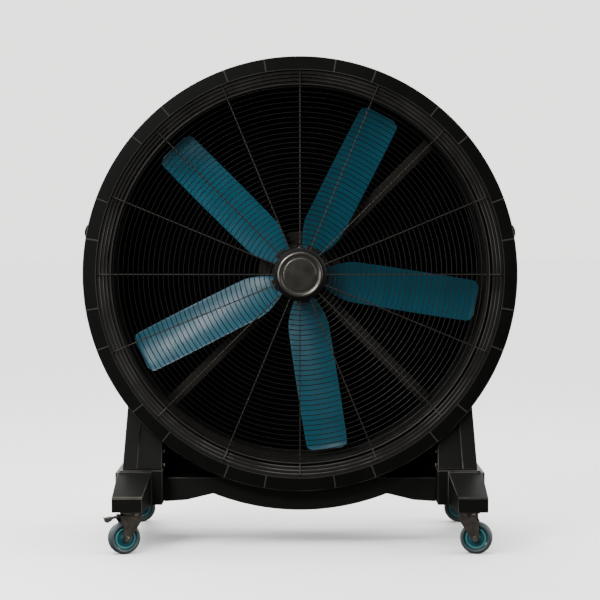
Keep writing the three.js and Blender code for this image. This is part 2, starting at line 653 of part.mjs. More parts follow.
// A foot: a deep block under the tower with a sloping arm to a castor at each end.
function foot() {
  const half = FOOT_HALF_LENGTH;
  const block = FOOT_BLOCK;
  const edge = FOOT_TOP - 8;
  const plan = extrude([[FOOT_INNER, -block], [FOOT_INNER + 42, -block], [601, -half], [717, -half],
    [713, -block], [FOOT_OUTER, -block], [FOOT_OUTER, block], [713, block], [717, half], [601, half],
    [FOOT_INNER + 42, block], [FOOT_INNER, block]], 'XY', FOOT_BOTTOM, FOOT_TOP);
  const side = extrude([[-half, FOOT_BOTTOM], [half, FOOT_BOTTOM], [half, ARM_TOE_HEIGHT],
    [half - 6, ARM_TOE_HEIGHT + 6], [block + 1, edge], [block, FOOT_TOP], [-block, FOOT_TOP],
    [-block - 1, edge], [-half + 6, ARM_TOE_HEIGHT + 6], [-half, ARM_TOE_HEIGHT]], 'YZ', 0, FAR);
  const plinth = box([TOWER_BASE_OUTER + 9, FAR], [-FAR, FAR], [edge, FAR]);
  return cut(common(plan, side), plinth);
}

// The saddle between the feet: its top cradles the drum and its belly follows the rim below.
function saddle() {
  const end = FOOT_INNER - CLEARANCE;
  const shape = new THREE.Shape();
  const bellyEnd = Math.asin(BELLY_HALF / SADDLE_BELLY);
  shape.moveTo(-end, FOOT_BOTTOM - 1);
  shape.lineTo(-WING_START, FOOT_BOTTOM + 5);
  shape.absarc(0, HUB_HEIGHT, SADDLE_BELLY, -Math.PI / 2 - bellyEnd, -Math.PI / 2 + bellyEnd, false);
  shape.lineTo(WING_START, FOOT_BOTTOM + 5);
  shape.lineTo(end, FOOT_BOTTOM - 1);
  shape.lineTo(end, SADDLE_DECK);
  shape.lineTo(-end, SADDLE_DECK);
  const beam = extrude(shape, 'XZ', -SADDLE_HALF_DEPTH, SADDLE_HALF_DEPTH);
  return piece('saddle_beam', cut(beam, drumEnvelope(), ...[240, 260, 280, 300].map(ribSeat)),
    STAND_PLASTIC);
}

function standSide(side) {
  const half = group(piece(`tower_${side}`, tower(), STAND_PLASTIC),
    piece(`foot_${side}`, foot(), STAND_PLASTIC));
  half.rotation.z = side === 'left' ? Math.PI : 0;
  return half;
}

// ---- Castors: origin on the floor under the swivel pin, +X towards the trailing wheel ----

function castorPlate() {
  const top = FOOT_BOTTOM - CLEARANCE;
  return join(box([-42, 42], [-42, 42], [top - 6, top]), post(SWIVEL_PIN, top - 34, top - 3, 6),
    post(SWIVEL_PIN + 5, top - 34, top - 27, 6));
}

// Crown and two legs in one pressing, with a swivel head bored for the pin.
function castorFork(braked) {
  const crown = FORK_CROWN;
  const ear = braked ? PEDAL_PIVOT_X + 10 : 36;
  const outline = [[-34, crown], [-34, crown - 14], [17, AXLE_HEIGHT - 4], [22, AXLE_HEIGHT - 13],
    [32, AXLE_HEIGHT - 16], [42, AXLE_HEIGHT - 12], [47, AXLE_HEIGHT], [44, crown - 34],
    [ear, crown - 18], [ear, crown]];
  const legs = cut(extrude(outline, 'XZ', -FORK_HALF, FORK_HALF),
    box([-60, 80], [-FORK_GAP, FORK_GAP], [0, crown - 6]));
  const head = join(legs, post(34, crown - 5, FORK_HEAD, 12));
  const bores = [post(SWIVEL_PIN + 2, crown - 20, FOOT_BOTTOM, 6),
    cylinder(AXLE_RADIUS + 0.6, -FAR, FAR, 6).translate(CASTOR_TRAIL, 0, AXLE_HEIGHT)];
  if (braked) {
    bores.push(box([22, 70], [-FORK_GAP, FORK_GAP], [crown - 20, crown + 1]));
    bores.push(cylinder(PEDAL_PIN + 1, -FAR, FAR, 6).translate(PEDAL_PIVOT_X, 0, PEDAL_PIVOT_Z));
  }
  return cut(head, ...bores);
}

function wheelCore() {
  const bore = AXLE_RADIUS + 0.8;
  const hub = WHEEL_HALF + 1;
  const web = WHEEL_HALF - 6;
  return revolve([[bore, -hub], [16, -hub], [40, -web], [43.4, -web], [43.4, web], [40, web],
    [16, hub], [bore, hub]], 12);
}

function wheelTyre() {
  const side = WHEEL_HALF - 4;
  return revolve([[44.4, -side], [54, -WHEEL_HALF], [WHEEL_RADIUS, -12], [WHEEL_RADIUS, 12],
    [54, WHEEL_HALF], [44.4, side]], WHEEL_SIDES).rotateY(Math.PI / WHEEL_SIDES);
}

// Through bolt with a hexagon head at one end and its nut at the other.
function castorAxle() {
  const cheek = FORK_HALF + CLEARANCE;
  const nut = AXLE_RADIUS + 5;
  return revolve([[0, -cheek - 7], [nut, -cheek - 7], [nut, -cheek], [AXLE_RADIUS, -cheek],
    [AXLE_RADIUS, cheek], [nut, cheek], [nut, cheek + 7], [0, cheek + 7]], 6);
}

// A toe pedal on a cross pin, with a lip at its end and a heel that meets the tyre when pressed.
function brakePedal() {
  const tread = extrude([[-4, 6], [8, 6], [62, 1], [68, 4], [69, 1], [64, -4], [8, 0], [-4, -4]],
    'XZ', -15, 15);
  return join(tread, cylinder(PEDAL_PIN + 2.2, 1 - FORK_GAP, FORK_GAP - 1, 6),
    cylinder(PEDAL_PIN, -FORK_HALF, FORK_HALF, 6));
}

// Each castor stands as it was left, trailing outwards and swivelled a little.
function castor(end, x, y, swivel, braked) {
  const wheel = group(piece(`castor_wheel_${end}`, wheelCore(), WHEEL_PLASTIC),
    piece(`castor_tyre_${end}`, wheelTyre(), TYRE), piece(`castor_axle_${end}`, castorAxle(), ZINC));
  wheel.position.set(CASTOR_TRAIL, 0, AXLE_HEIGHT);
  const unit = group(wheel, piece(`castor_fork_${end}`, castorFork(braked), ZINC));
  if (braked) {
    const pedal = piece(`brake_pedal_${end}`, brakePedal(), BLACK_RUBBER);
    pedal.position.set(PEDAL_PIVOT_X, 0, PEDAL_PIVOT_Z);
    unit.add(pedal);
  }
  unit.rotation.z = radians(x < 0 ? 180 + swivel : swivel);
  const whole = group(piece(`castor_plate_${end}`, castorPlate(), ZINC), unit);
  whole.position.set(x, y, 0);
  return whole;
}

// ---- Assembly ----

const drum = group(...drumPanels(), frontRim(), rearRim(), frontGuard(), rearGuard(), dustScreen(),
  guardCap(), rotor(), motorBody(), motorPlate(), motorArm(0), motorArm(1), motorArm(2), motorArm(3),
  pushBar('right', BAR_ANGLE), pushBar('left', 180 - BAR_ANGLE), ...controlBox(), ...glands(),
  motorCable());
drum.position.z = HUB_HEIGHT;

const fan = group(drum, saddle(), standSide('left'), standSide('right'),
  castor('front_left', -CASTOR_X, -CASTOR_Y, 25, true),
  castor('rear_left', -CASTOR_X, CASTOR_Y, 8, true),
  castor('front_right', CASTOR_X, -CASTOR_Y, -12, false),
  castor('rear_right', CASTOR_X, CASTOR_Y, -18, false));
fan.name = 'drum_fan';

export default fan;
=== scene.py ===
import json
from math import atan2, cos, hypot, pi, radians, sin, sqrt

import bmesh
import bpy
from bpy.props import FloatProperty, FloatVectorProperty, IntProperty, PointerProperty
from mathutils import Matrix, Vector


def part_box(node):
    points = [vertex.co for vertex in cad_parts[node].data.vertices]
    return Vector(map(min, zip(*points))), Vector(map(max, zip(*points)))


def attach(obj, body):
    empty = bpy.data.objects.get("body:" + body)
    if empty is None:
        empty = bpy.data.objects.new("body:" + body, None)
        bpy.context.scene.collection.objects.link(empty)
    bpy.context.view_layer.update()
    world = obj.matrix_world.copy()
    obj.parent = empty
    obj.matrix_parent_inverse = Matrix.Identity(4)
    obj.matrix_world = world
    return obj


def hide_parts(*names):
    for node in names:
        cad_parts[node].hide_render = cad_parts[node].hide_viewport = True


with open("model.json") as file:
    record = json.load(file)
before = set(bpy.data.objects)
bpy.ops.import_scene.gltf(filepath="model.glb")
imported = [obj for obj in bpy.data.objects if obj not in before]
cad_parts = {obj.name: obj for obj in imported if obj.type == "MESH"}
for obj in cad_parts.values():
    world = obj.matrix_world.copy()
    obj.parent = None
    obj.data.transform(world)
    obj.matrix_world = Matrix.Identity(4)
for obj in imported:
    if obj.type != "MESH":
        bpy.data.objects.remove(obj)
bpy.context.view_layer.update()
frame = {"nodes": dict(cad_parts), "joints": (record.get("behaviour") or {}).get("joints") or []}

bl_info = {
    "name": "Drum Fan",
    "version": (1, 0, 0),
    "blender": (4, 5, 0),
    "location": "3D View > Sidebar > Drum Fan",
    "description": "Dresses the packed drum fan with its moulded, wired and painted pieces",
    "category": "Object",
}

# Modelling is in millimetres; piece() brings the finished mesh to metres.
MM = 0.001
JOINTS = {joint["name"]: joint for joint in frame["joints"]}
HUB = JOINTS["fan_spin"]["pos_m"][2] / MM
ROTOR_Y = JOINTS["fan_spin"]["pos_m"][1] / MM
FLOOR, DRUM = Matrix.Identity(4), Matrix.Translation((0, 0, HUB))
ROTOR = Matrix.Translation((0, ROTOR_Y, HUB))
CASTORS = ("front_left", "rear_left", "front_right", "rear_right")
BRAKED = ("front_left", "rear_left")

# Drum and guards, as the frame has them: radii, and distances from the drum's middle plane.
FLANGE, FLANGE_FACE, FLANGE_BACK = 850, 220, 200
MOUTH, MOUTH_FACE, MOUTH_BACK = 735, 176, 166.4
BARREL_IN, BARREL_OUT, BARREL_HALF = 738, 762, 166
RIB_FOOT, RIB_TOP, RIB_HALF, RIB_DRAFT = 752, 840, 164, 18
GUARD_HUB, SEAT_IN, SEAT_OUT = 104, 738, 750
DOME_SEAT, DOME_RISE = 188, 22
# Where the control box and the cable's bobbin stand, in degrees from +X.
BOX_ANGLE, BOBBIN_ANGLE = 36.5, 20


def linear(code):
    """An sRGB hex colour as linear red, green, blue and alpha."""
    parts = [int(code[i:i + 2], 16) / 255 for i in (1, 3, 5)]
    return tuple(c / 12.92 if c <= 0.04045 else ((c + 0.055) / 1.055) ** 2.4 for c in parts) + (1.0,)


# ---- properties

def length(name, words, value, low, high):
    """A length in the panel, given in millimetres."""
    return FloatProperty(name=name, description=words, default=value * MM, min=low * MM, max=high * MM,
                         unit="LENGTH")


def colour(name, code, words):
    """A colour in the panel, given as an sRGB hex code."""
    return FloatVectorProperty(name=name, description=words, subtype="COLOR", size=4, min=0, max=1,
                               default=linear(code))


class FanSizes(bpy.types.PropertyGroup):
    guard_wire: length("Guard wire", "Diameter of the guards' ring wires", 3.2, 2, 5)
    spoke_wire: length("Spoke wire", "Diameter of the guards' radial spokes", 4.6, 3, 8)
    rear_pitch: length("Rear ring pitch", "Distance between rings of the rear guard", 14, 10, 40)
    mesh_pitch: length("Screen pitch", "Distance between bands of the dust screen", 8, 3, 20)
    edge: length("Moulded edge", "Radius on the edges of the plastic mouldings", 3, 0.5, 8)
    round_steps: IntProperty(name="Round steps", description="Steps round the drum's rims and barrel",
                             default=192, min=48, max=384)


class FanColours(bpy.types.PropertyGroup):
    rims: colour("Rims", "#070706", "Black of the drum's two moulded rims")
    # Paler than the rims, though the drum is one black plastic: painted light on the barrel and control box.
    barrel: colour("Barrel", "#242321", "Grey black of the drum's barrel, mouth and control box")
    stand: colour("Stand", "#191917", "Black of the stand's moulded plastic")
    blade: colour("Blade", "#0e4a5a", "Teal of the painted blades")
    wire: colour("Wire", "#100f0e", "Black of the guards' coated ring wires")
    wheel: colour("Wheel", "#03444c", "Teal of the castor wheels")
    bar: colour("Bar", "#4c4b49", "Grey of the push bars")
    floor: colour("Floor", "#fbfaf9", "Pale studio floor")


# ---- modelling

def moved(x, y, z):
    return Matrix.Translation((x, y, z))


def about(axis, angle):
    return Matrix.Rotation(angle, 4, axis)


def swung(degrees):
    """Turns what is modelled at the top of the drum to an angle counted from +X, seen from the front."""
    return about("Y", pi / 2 - radians(degrees))


def seat(degrees, radius, y, way=1):
    """Where a screw sits at an angle and radius of the drum, facing the front or, with -1, the rear."""
    return swung(degrees) @ moved(0, y, radius) @ about("X", way * pi / 2)


def dome(radius):
    """Distance of the guards' dome from the drum's middle plane."""
    return DOME_SEAT + DOME_RISE * (1 - (radius / SEAT_OUT) ** 2)


def linked(name, data):
    """A new object of the scene."""
    thing = bpy.data.objects.new(name, data)
    bpy.context.scene.collection.objects.link(thing)
    return thing


def stored(name, mesh):
    """The data of what was modelled, which is let go."""
    data = bpy.data.meshes.new(name)
    mesh.to_mesh(data)
    mesh.free()
    return data


def soften(mesh, width, segments=2, degrees=25, clamp=True):
    """Rounds every edge sharper than an angle; each outward round's middle is marked for edge wear and a
    painted highlight.
    """
    rubbed_and_lit = mesh.faces.layers.float.get("edge_wear_and_highlight") or mesh.faces.layers.float.new("edge_wear_and_highlight")
    sharp = [e for e in mesh.edges if e.is_manifold and e.calc_face_angle(0) > radians(degrees)]
    made = bmesh.ops.bevel(mesh, geom=sharp, offset=width, offset_type="OFFSET", segments=segments,
                           profile=0.5, affect="EDGES", clamp_overlap=clamp, material=-1)
    mesh.normal_update()
    rounds = set(made["faces"])
    for face in rounds:
        middle = face.calc_center_median()
        beside = [other for edge in face.edges for other in edge.link_faces if other is not face]
        fall = sum((other.calc_center_median() - middle).dot(face.normal) for other in beside)
        if fall < 0:
            # Marked rounds get a pale line in finish(): partly wear, partly a painted highlight where light
            # would catch the edge.
            face[rubbed_and_lit] = 1.0 if rounds.issuperset(beside) else 0.3
    return mesh


def closed(mesh):
    """Welds the seams and turns every face outward."""
    bmesh.ops.remove_doubles(mesh, verts=mesh.verts, dist=1e-3)
    bmesh.ops.recalc_face_normals(mesh, faces=mesh.faces)
    return mesh


def spun(mesh, steps):
    """Takes an outline once round the Y axis."""
    bmesh.ops.spin(mesh, geom=mesh.verts[:] + mesh.edges[:], cent=(0, 0, 0), axis=(0, 1, 0),
                   angle=2 * pi, steps=steps, use_merge=True, use_duplicate=False)
    return closed(mesh)


def turned(outline, steps, solid=False):
    """Spins a (radius, y) outline; that of a solid starts and ends on the axis and stays open there."""
    mesh = bmesh.new()
    corners = [mesh.verts.new((r, y, 0)) for r, y in outline]
    for pair in zip(corners, corners[1:] if solid else corners[1:] + corners[:1]):
        mesh.edges.new(pair)
    return spun(mesh, steps)


def both_sides(half):
    """The outline of a wheel's section from the half of it that lies towards -Y."""
    return half + [(radius, -y) for radius, y in reversed(half)]


def bead_outline(radius, y, half, sides):
    """The outline of a round bead that runs about the Y axis."""
    turns = [radians(360 / sides * i) for i in range(sides)]
    return [(radius + half * cos(a), y + half * sin(a)) for a in turns]


def extruded(outline, plane, start, end):
    """Draws a flat outline out along the axis that its plane leaves over."""
    order = {"XZ": lambda u, v, w: (u, w, v), "YZ": lambda u, v, w: (w, u, v)}[plane]
    mesh = bmesh.new()
    face = mesh.faces.new([mesh.verts.new(order(u, v, start)) for u, v in outline])
    grown = bmesh.ops.extrude_face_region(mesh, geom=[face])["geom"]
    step = Vector(order(0, 0, end)) - Vector(order(0, 0, start))
    bmesh.ops.translate(mesh, verts=[g for g in grown if isinstance(g, bmesh.types.BMVert)], vec=step)
    bmesh.ops.recalc_face_normals(mesh, faces=mesh.faces)
    return mesh


def block(x, y, z):
    """A box between two places on each axis."""
    mesh = bmesh.new()
    size = Vector((x[1] - x[0], y[1] - y[0], z[1] - z[0]))
    middle = Vector((sum(x) / 2, sum(y) / 2, sum(z) / 2))
    bmesh.ops.create_cube(mesh, size=1, matrix=Matrix.Translation(middle) @ Matrix.Diagonal((*size, 1)))
    return mesh


def rod(radius, start, end, sides, cuts):
    """A round wire along Z from start to end, cut across so that it can be bent."""
    mesh = bmesh.new()
    bmesh.ops.create_cone(mesh, cap_ends=True, segments=sides, radius1=radius, radius2=radius,
                          depth=end - start, matrix=moved(0, 0, (start + end) / 2))
    long = [e for e in mesh.edges if abs(e.verts[0].co.z - e.verts[1].co.z) > 1e-6]
    bmesh.ops.subdivide_edges(mesh, edges=long, cuts=cuts, use_grid_fill=True)
    return mesh


def bent(mesh, shift):
    """Moves each point along Y by what the shift gives at its height."""
    for v in mesh.verts:
        v.co.y += shift(v.co.z)
    return mesh


def placed(mesh, matrix):
    bmesh.ops.transform(mesh, matrix=matrix, verts=mesh.verts)
    return mesh


def joined(meshes):
    """One mesh of several closed shells."""
    whole = bmesh.new()
    for mesh in meshes:
        passing = stored("passing", mesh)
        whole.from_mesh(passing)
        bpy.data.meshes.remove(passing)
    return whole


def repeated(mesh, matrices):
    """The same shell at each of several places."""
    shape, whole = stored("repeated", mesh), bmesh.new()
    for matrix in matrices:
        copy = shape.copy()
        copy.transform(matrix)
        whole.from_mesh(copy)
        bpy.data.meshes.remove(copy)
    bpy.data.meshes.remove(shape)
    return whole


def carried(node, width, segments):
    """A merged copy of a CAD node with its flat faces made whole and its edges rounded, in millimetres."""
    mesh = bmesh.new()
    mesh.from_mesh(frame["nodes"][node].data)
    placed(mesh, Matrix.Scale(1 / MM, 4))
    bmesh.ops.remove_doubles(mesh, verts=mesh.verts, dist=0.02)
    bmesh.ops.dissolve_limit(mesh, angle_limit=radians(1.5), verts=mesh.verts, edges=mesh.edges)
    return soften(mesh, width, segments, clamp=False)


def within(low, high):
    """A test for painted(): whether a face's middle lies between two radii about the Y axis."""
    return lambda spot: low < hypot(spot.x, spot.z) < high


def painted(mesh, mark, test=lambda spot: True):
    """Gives the faces whose middle passes a test another of the piece's materials."""
    for face in mesh.faces:
        if test(face.calc_center_median()):
            face.material_index = mark
    return mesh


def piece(name, mesh, materials, slot, *nodes, body="chassis", at=DRUM, smooth=32):
    """Finishes a mesh, by default one about the drum's axis, as an object that stands for CAD nodes."""
    placed(mesh, Matrix.Scale(MM, 4) @ at)
    for face in mesh.faces:
        face.smooth = True
    for edge in mesh.edges:
        edge.smooth = edge.is_manifold and edge.calc_face_angle(0) < radians(smooth)
    thing = linked(name, stored(name, mesh))
    for material in materials if isinstance(materials, list) else [materials]:
        thing.data.materials.append(material)
    thing.modifiers.new("flat_faces", "WEIGHTED_NORMAL").keep_sharp = True
    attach(thing, body)
    if nodes:
        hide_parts(*nodes)


def rounded(node, kind, width, segments, material, slot, body="chassis"):
    """A CAD node with its edges rounded, as the piece that stands for it."""
    piece(node + "_" + kind, carried(node, width, segments), material, slot, node, body=body, at=FLOOR)


def hexagon_bolt(across, head, washer):
    """A bolt head on its washer, pointing along +Z from the face it sits on."""
    washer_top, head_foot, corner = 1.6, 1.4, across / 2 / cos(pi / 6)
    base = turned([(0, 0), (washer, 0), (washer, washer_top), (0, washer_top)], 20, True)
    placed(base, about("X", pi / 2))
    mesh = bmesh.new()
    bmesh.ops.create_cone(mesh, cap_ends=True, segments=6, radius1=corner, radius2=corner, depth=head,
                          matrix=moved(0, 0, head_foot + head / 2))
    return joined([base, soften(mesh, head * 0.16, 2)])


def dome_screw(radius, height):
    """A pan-head screw pointing along +Z, with a round recess."""
    outline = [(0, 0), (1, 0), (1, 0.35), (0.82, 0.8), (0.45, 1), (0.3, 1), (0.22, 0.55), (0, 0.5)]
    mesh = turned([(radius * r, height * y) for r, y in outline], 16, True)
    return placed(mesh, about("X", pi / 2))


# ---- materials

def add(tree, kind, settings=(), links=()):
    """Adds one node with its settings, by property or socket, and its links by socket."""
    made = tree.nodes.new("ShaderNode" + kind)
    for name, value in dict(settings).items():
        if isinstance(name, str) and hasattr(made, name):
            setattr(made, name, value)
        else:
            made.inputs[name].default_value = value
    for name, source in dict(links).items():
        tree.links.new(source, made.inputs[name])
    return made


def started(name):
    """A new material with only its output node."""
    material = bpy.data.materials.new(name)
    material.use_nodes = True
    tree = material.node_tree
    tree.nodes.clear()
    return material, tree, add(tree, "OutputMaterial")


def shade(rgba, factor):
    return tuple(min(1.0, c * factor) for c in rgba[:3]) + (1.0,)


def ranged(tree, value, low, high, to_low, to_high):
    """A value stretched from one range to another."""
    limits = {"From Min": low, "From Max": high, "To Min": to_low, "To Max": to_high}
    return add(tree, "MapRange", limits, {"Value": value}).outputs[0]


def finish(name, rgba, roughness, patch=0.12, grain=0.0012, depth=0.00012, vary=0.18, worn_and_lit=None,
           metallic=0.0, specular=0.5, coat=0.0, stretch=(1, 1, 1), sheen=0.05, attribute=None):
    """A surface with drifting tone, its own fine grain and paler marked edges, partly wear and partly painted
    highlight.

    patch is the size of the tone's drift, grain and depth the size and height of the texture, in metres.
    """
    material, tree, out = started(name)
    place = (add(tree, "Attribute", {"attribute_name": attribute}).outputs["Vector"] if attribute
             else add(tree, "TexCoord").outputs["Object"])
    run = add(tree, "Mapping", {"Scale": stretch}, {"Vector": place}).outputs[0]
    drift = add(tree, "TexNoise", {"Scale": 1 / patch, "Detail": 3.0, "Roughness": 0.6}, {"Vector": run})
    fine = add(tree, "TexNoise", {"Scale": 1 / grain, "Detail": 2.0, "Roughness": 0.55}, {"Vector": run})
    tone = add(tree, "Mix", {"data_type": "RGBA", 6: shade(rgba, 1 - vary), 7: shade(rgba, 1 + vary)},
               {0: drift.outputs[0]}).outputs[2]
    gloss = ranged(tree, drift.outputs[0], 0.3, 0.7, roughness - sheen, roughness + sheen)
    relief = add(tree, "Bump", {"Strength": 0.6, "Distance": depth}, {"Height": fine.outputs[0]}).outputs[0]
    # The pale edge colour paints wear and a highlight on the rounded edges.
    if worn_and_lit:
        edge = add(tree, "Attribute", {"attribute_name": "edge_wear_and_highlight"}).outputs["Fac"]
        rubbed_and_lit = ranged(tree, drift.outputs[0], 0.38, 0.62, 0.1, 1)
        wear_and_highlight_mask = add(tree, "Math", {"operation": "MULTIPLY"}, {0: edge, 1: rubbed_and_lit}).outputs[0]
        tone = add(tree, "Mix", {"data_type": "RGBA", 7: worn_and_lit}, {0: wear_and_highlight_mask, 6: tone}).outputs[2]
    skin = {"Metallic": metallic, "Specular IOR Level": specular, "IOR": 1.5, "Coat Weight": coat,
            "Coat Roughness": 0.12}
    shader = add(tree, "BsdfPrincipled", skin, {"Base Color": tone, "Roughness": gloss, "Normal": relief})
    tree.links.new(shader.outputs[0], out.inputs[0])
    return material


def abs_moulded(name, rgba, worn_and_lit="#5d5a54"):
    """ABS from a lightly sparked mould: a satin black whose edges carry a pale line, partly wear and partly a
    painted highlight.

    The pale line is as wide as the moulding's rounded edge, 3 to 5 mm, so that it shows in a full view.
    """
    return finish(name, rgba, 0.44, patch=0.16, grain=0.0016, depth=0.00015, vary=0.16,
                  worn_and_lit=linear(worn_and_lit), specular=0.1, sheen=0.06)


def steel_wire_coated(name, rgba):
    """Drawn steel wire in a powder coat: satin, with a faint orange-peel skin."""
    return finish(name, rgba, 0.36, patch=0.09, grain=0.004, depth=0.00008, vary=0.2,
                  metallic=0.15, specular=0.22)


def plastic_moulded(name, code, roughness=0.5, specular=0.45):
    """Moulded nylon or acrylic: an even, slightly waxy surface."""
    return finish(name, linear(code), roughness, patch=0.03, grain=0.0018, depth=0.0001, vary=0.14,
                  specular=specular)


def aluminium_turned(name, low, high):
    """Aluminium faced on a lathe: fine concentric grooves about the drum's axis in a satin grey."""
    material, tree, out = started(name)
    place = add(tree, "TexCoord").outputs["Object"]
    centred = add(tree, "Mapping", {"Location": (0, 0, -HUB * MM), "Scale": (1, 0, 1)}, {"Vector": place})
    radius = add(tree, "VectorMath", {"operation": "LENGTH"}, {0: centred.outputs[0]}).outputs["Value"]
    # Cutter feed of 1.2 mm a turn, drawn as one groove each.
    turns = add(tree, "Math", {"operation": "MULTIPLY", 1: 2 * pi / 0.0012}, {0: radius}).outputs[0]
    groove = add(tree, "Math", {"operation": "SINE"}, {0: turns}).outputs[0]
    relief = add(tree, "Bump", {"Strength": 0.35, "Distance": 0.00005}, {"Height": groove}).outputs[0]
    # Tone clouds about 33 mm across.
    cloud = add(tree, "TexNoise", {"Scale": 30.0, "Detail": 3.0}, {"Vector": place}).outputs[0]
    tone = add(tree, "Mix", {"data_type": "RGBA", 6: linear(low), 7: linear(high)}, {0: cloud}).outputs[2]
    gloss = ranged(tree, cloud, 0, 1, 0.24, 0.36)
    shader = add(tree, "BsdfPrincipled", {"Metallic": 1},
                 {"Base Color": tone, "Roughness": gloss, "Normal": relief})
    tree.links.new(shader.outputs[0], out.inputs[0])
    return material


def acrylic_display(low, high):
    """Back-lit acrylic: pale mint clouds about 70 mm across, with a soft darker ring in the middle."""
    material, tree, out = started("acrylic_display_mint")
    middle = (low + high) / 2
    place = add(tree, "TexCoord").outputs["Object"]
    local = add(tree, "Mapping", {"Location": tuple(-c for c in middle)}, {"Vector": place}).outputs[0]
    reach = add(tree, "VectorMath", {"operation": "LENGTH"}, {0: local}).outputs["Value"]
    band, hole = ranged(tree, reach, 0.012, 0.017, 1, 0), ranged(tree, reach, 0.006, 0.010, 0, 1)
    ring = add(tree, "Math", {"operation": "MULTIPLY"}, {0: band, 1: hole}).outputs[0]
    cloud = add(tree, "TexNoise", {"Scale": 14.0, "Detail": 1.0}, {"Vector": place}).outputs[0]
    mint = add(tree, "Mix", {"data_type": "RGBA", 6: linear("#8fd3c3"), 7: linear("#d8f5ec")},
               {0: cloud}).outputs[2]
    tone = add(tree, "Mix", {"data_type": "RGBA", 7: linear("#4d9a8d")}, {0: ring, 6: mint}).outputs[2]
    pane = {"Roughness": 0.16, "IOR": 1.49, "Coat Weight": 0.4, "Emission Strength": 0.25}
    shader = add(tree, "BsdfPrincipled", pane, {"Base Color": tone, "Emission Color": tone})
    tree.links.new(shader.outputs[0], out.inputs[0])
    return material


def floor_painted(rgba):
    """Painted studio floor: matt and pale, with a barely seen roller texture."""
    return finish("floor_painted_pale", rgba, 0.85, patch=1.4, grain=0.02, depth=0.0001, vary=0.015,
                  specular=0.1, sheen=0.02)


PAINTS = {}


def paints():
    """The finishes, made once from the colours in the panel."""
    if not PAINTS:
        chosen = bpy.context.scene.fan_colours
        PAINTS.update(
            rims=abs_moulded("abs_moulded_drum", chosen.rims),
            # The barrel's paler black is painted light on the drum's one black plastic.
            barrel=abs_moulded("abs_moulded_barrel_painted_light", chosen.barrel),
            # A lit copy of the drum black for the stepped mouth and the barrel's inner wall: painted light.
            mouth=abs_moulded("abs_moulded_mouth_painted_light", shade(chosen.barrel, 0.74)),
            # Both pale edge colours paint wear and a highlight; the feet and saddle webs take a darker copy
            # of the stand black, painted shade.
            stand=abs_moulded("abs_moulded_stand", chosen.stand, "#645f59"),
            foot=abs_moulded("abs_moulded_foot_painted_shade", shade(chosen.stand, 0.55), "#5b5751"),
            # A paler copy of the rim black for the webs and the lip bead: a painted highlight along them.
            web=abs_moulded("abs_moulded_painted_highlight", linear("#2b2a27")),
            wire=steel_wire_coated("steel_wire_powder_coated", chosen.wire),
            spoke=steel_wire_coated("steel_rod_powder_coated", linear("#33302c")),
            cap=aluminium_turned("aluminium_turned_satin", "#4f4c48", "#67645f"),
            # A paler copy of the cap's aluminium for the raised ring and the fine line: painted highlight.
            cap_ring=aluminium_turned("aluminium_turned_painted_highlight", "#57544f", "#6c6963"),
            # Two-pack paint sprayed on a smooth laminate: satin teal with faint streaks along the blade.
            blade=finish("laminate_painted_teal", chosen.blade, 0.33, patch=0.35, grain=0.012, depth=0.00006,
                         vary=0.22, stretch=(1, 6, 1), coat=0.03, sheen=0.04, specular=0.38,
                         attribute="blade_run"),
            # Sand-cast aluminium: dull warm grey with a pebbled skin.
            cast=finish("aluminium_sand_cast", linear("#322f2b"), 0.5, patch=0.05, grain=0.0035,
                        depth=0.0004, vary=0.2, metallic=0.85, sheen=0.08),
            # Woven black polyester: dull threads, drawn as broad crossed bands so that the weave shows.
            mesh=finish("polyester_mesh_woven", linear("#040404"), 0.9, patch=0.2, grain=0.0015,
                        depth=0.0002, vary=0.3, specular=0.05),
            # Pressed steel, zinc plated and passivated: mottled warm grey.
            zinc=finish("steel_zinc_plated", linear("#5a544d"), 0.38, patch=0.018, grain=0.0022,
                        depth=0.0001, vary=0.24, metallic=0.9, sheen=0.1),
            # Ground and oiled bar steel: bright, with fine rings round the shaft.
            steel=finish("steel_ground_bright", linear("#8f8d88"), 0.24, patch=0.03, depth=0.00006,
                         vary=0.08, metallic=1.0, stretch=(0.1, 3, 0.1)),
            # Tube with a baked enamel skin: smooth mid grey, a little gloss where hands hold it.
            bar=finish("steel_tube_enamelled", chosen.bar, 0.3, patch=0.08, grain=0.006, depth=0.00007,
                       vary=0.12, coat=0.15),
            black=plastic_moulded("nylon_moulded_black", "#080808", 0.55, 0.15),
            pedal=plastic_moulded("nylon_moulded_charcoal", "#3b3530", 0.6, 0.15),
            ring=plastic_moulded("nylon_moulded_pale", "#3a7f7e"),
            wheel=finish("nylon_moulded_teal", chosen.wheel, 0.45, patch=0.03, grain=0.0018, depth=0.0001),
            # Cast polyurethane tread: translucent grey with a dull rolling band of dust.
            tyre=finish("polyurethane_cast_grey", linear("#394345"), 0.48, patch=0.02, grain=0.003,
                        vary=0.25),
            # Extruded PVC cable sheath: even grey with a soft gloss and faint draw lines.
            cable=finish("pvc_sheath_extruded", linear("#6b6c6b"), 0.42, patch=0.03, grain=0.002,
                         depth=0.00005, vary=0.12),
            bezel=plastic_moulded("acrylic_moulded_bezel", "#0c4a45", 0.22),
            display=acrylic_display(*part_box("display_screen")))
    return PAINTS


# ---- operators

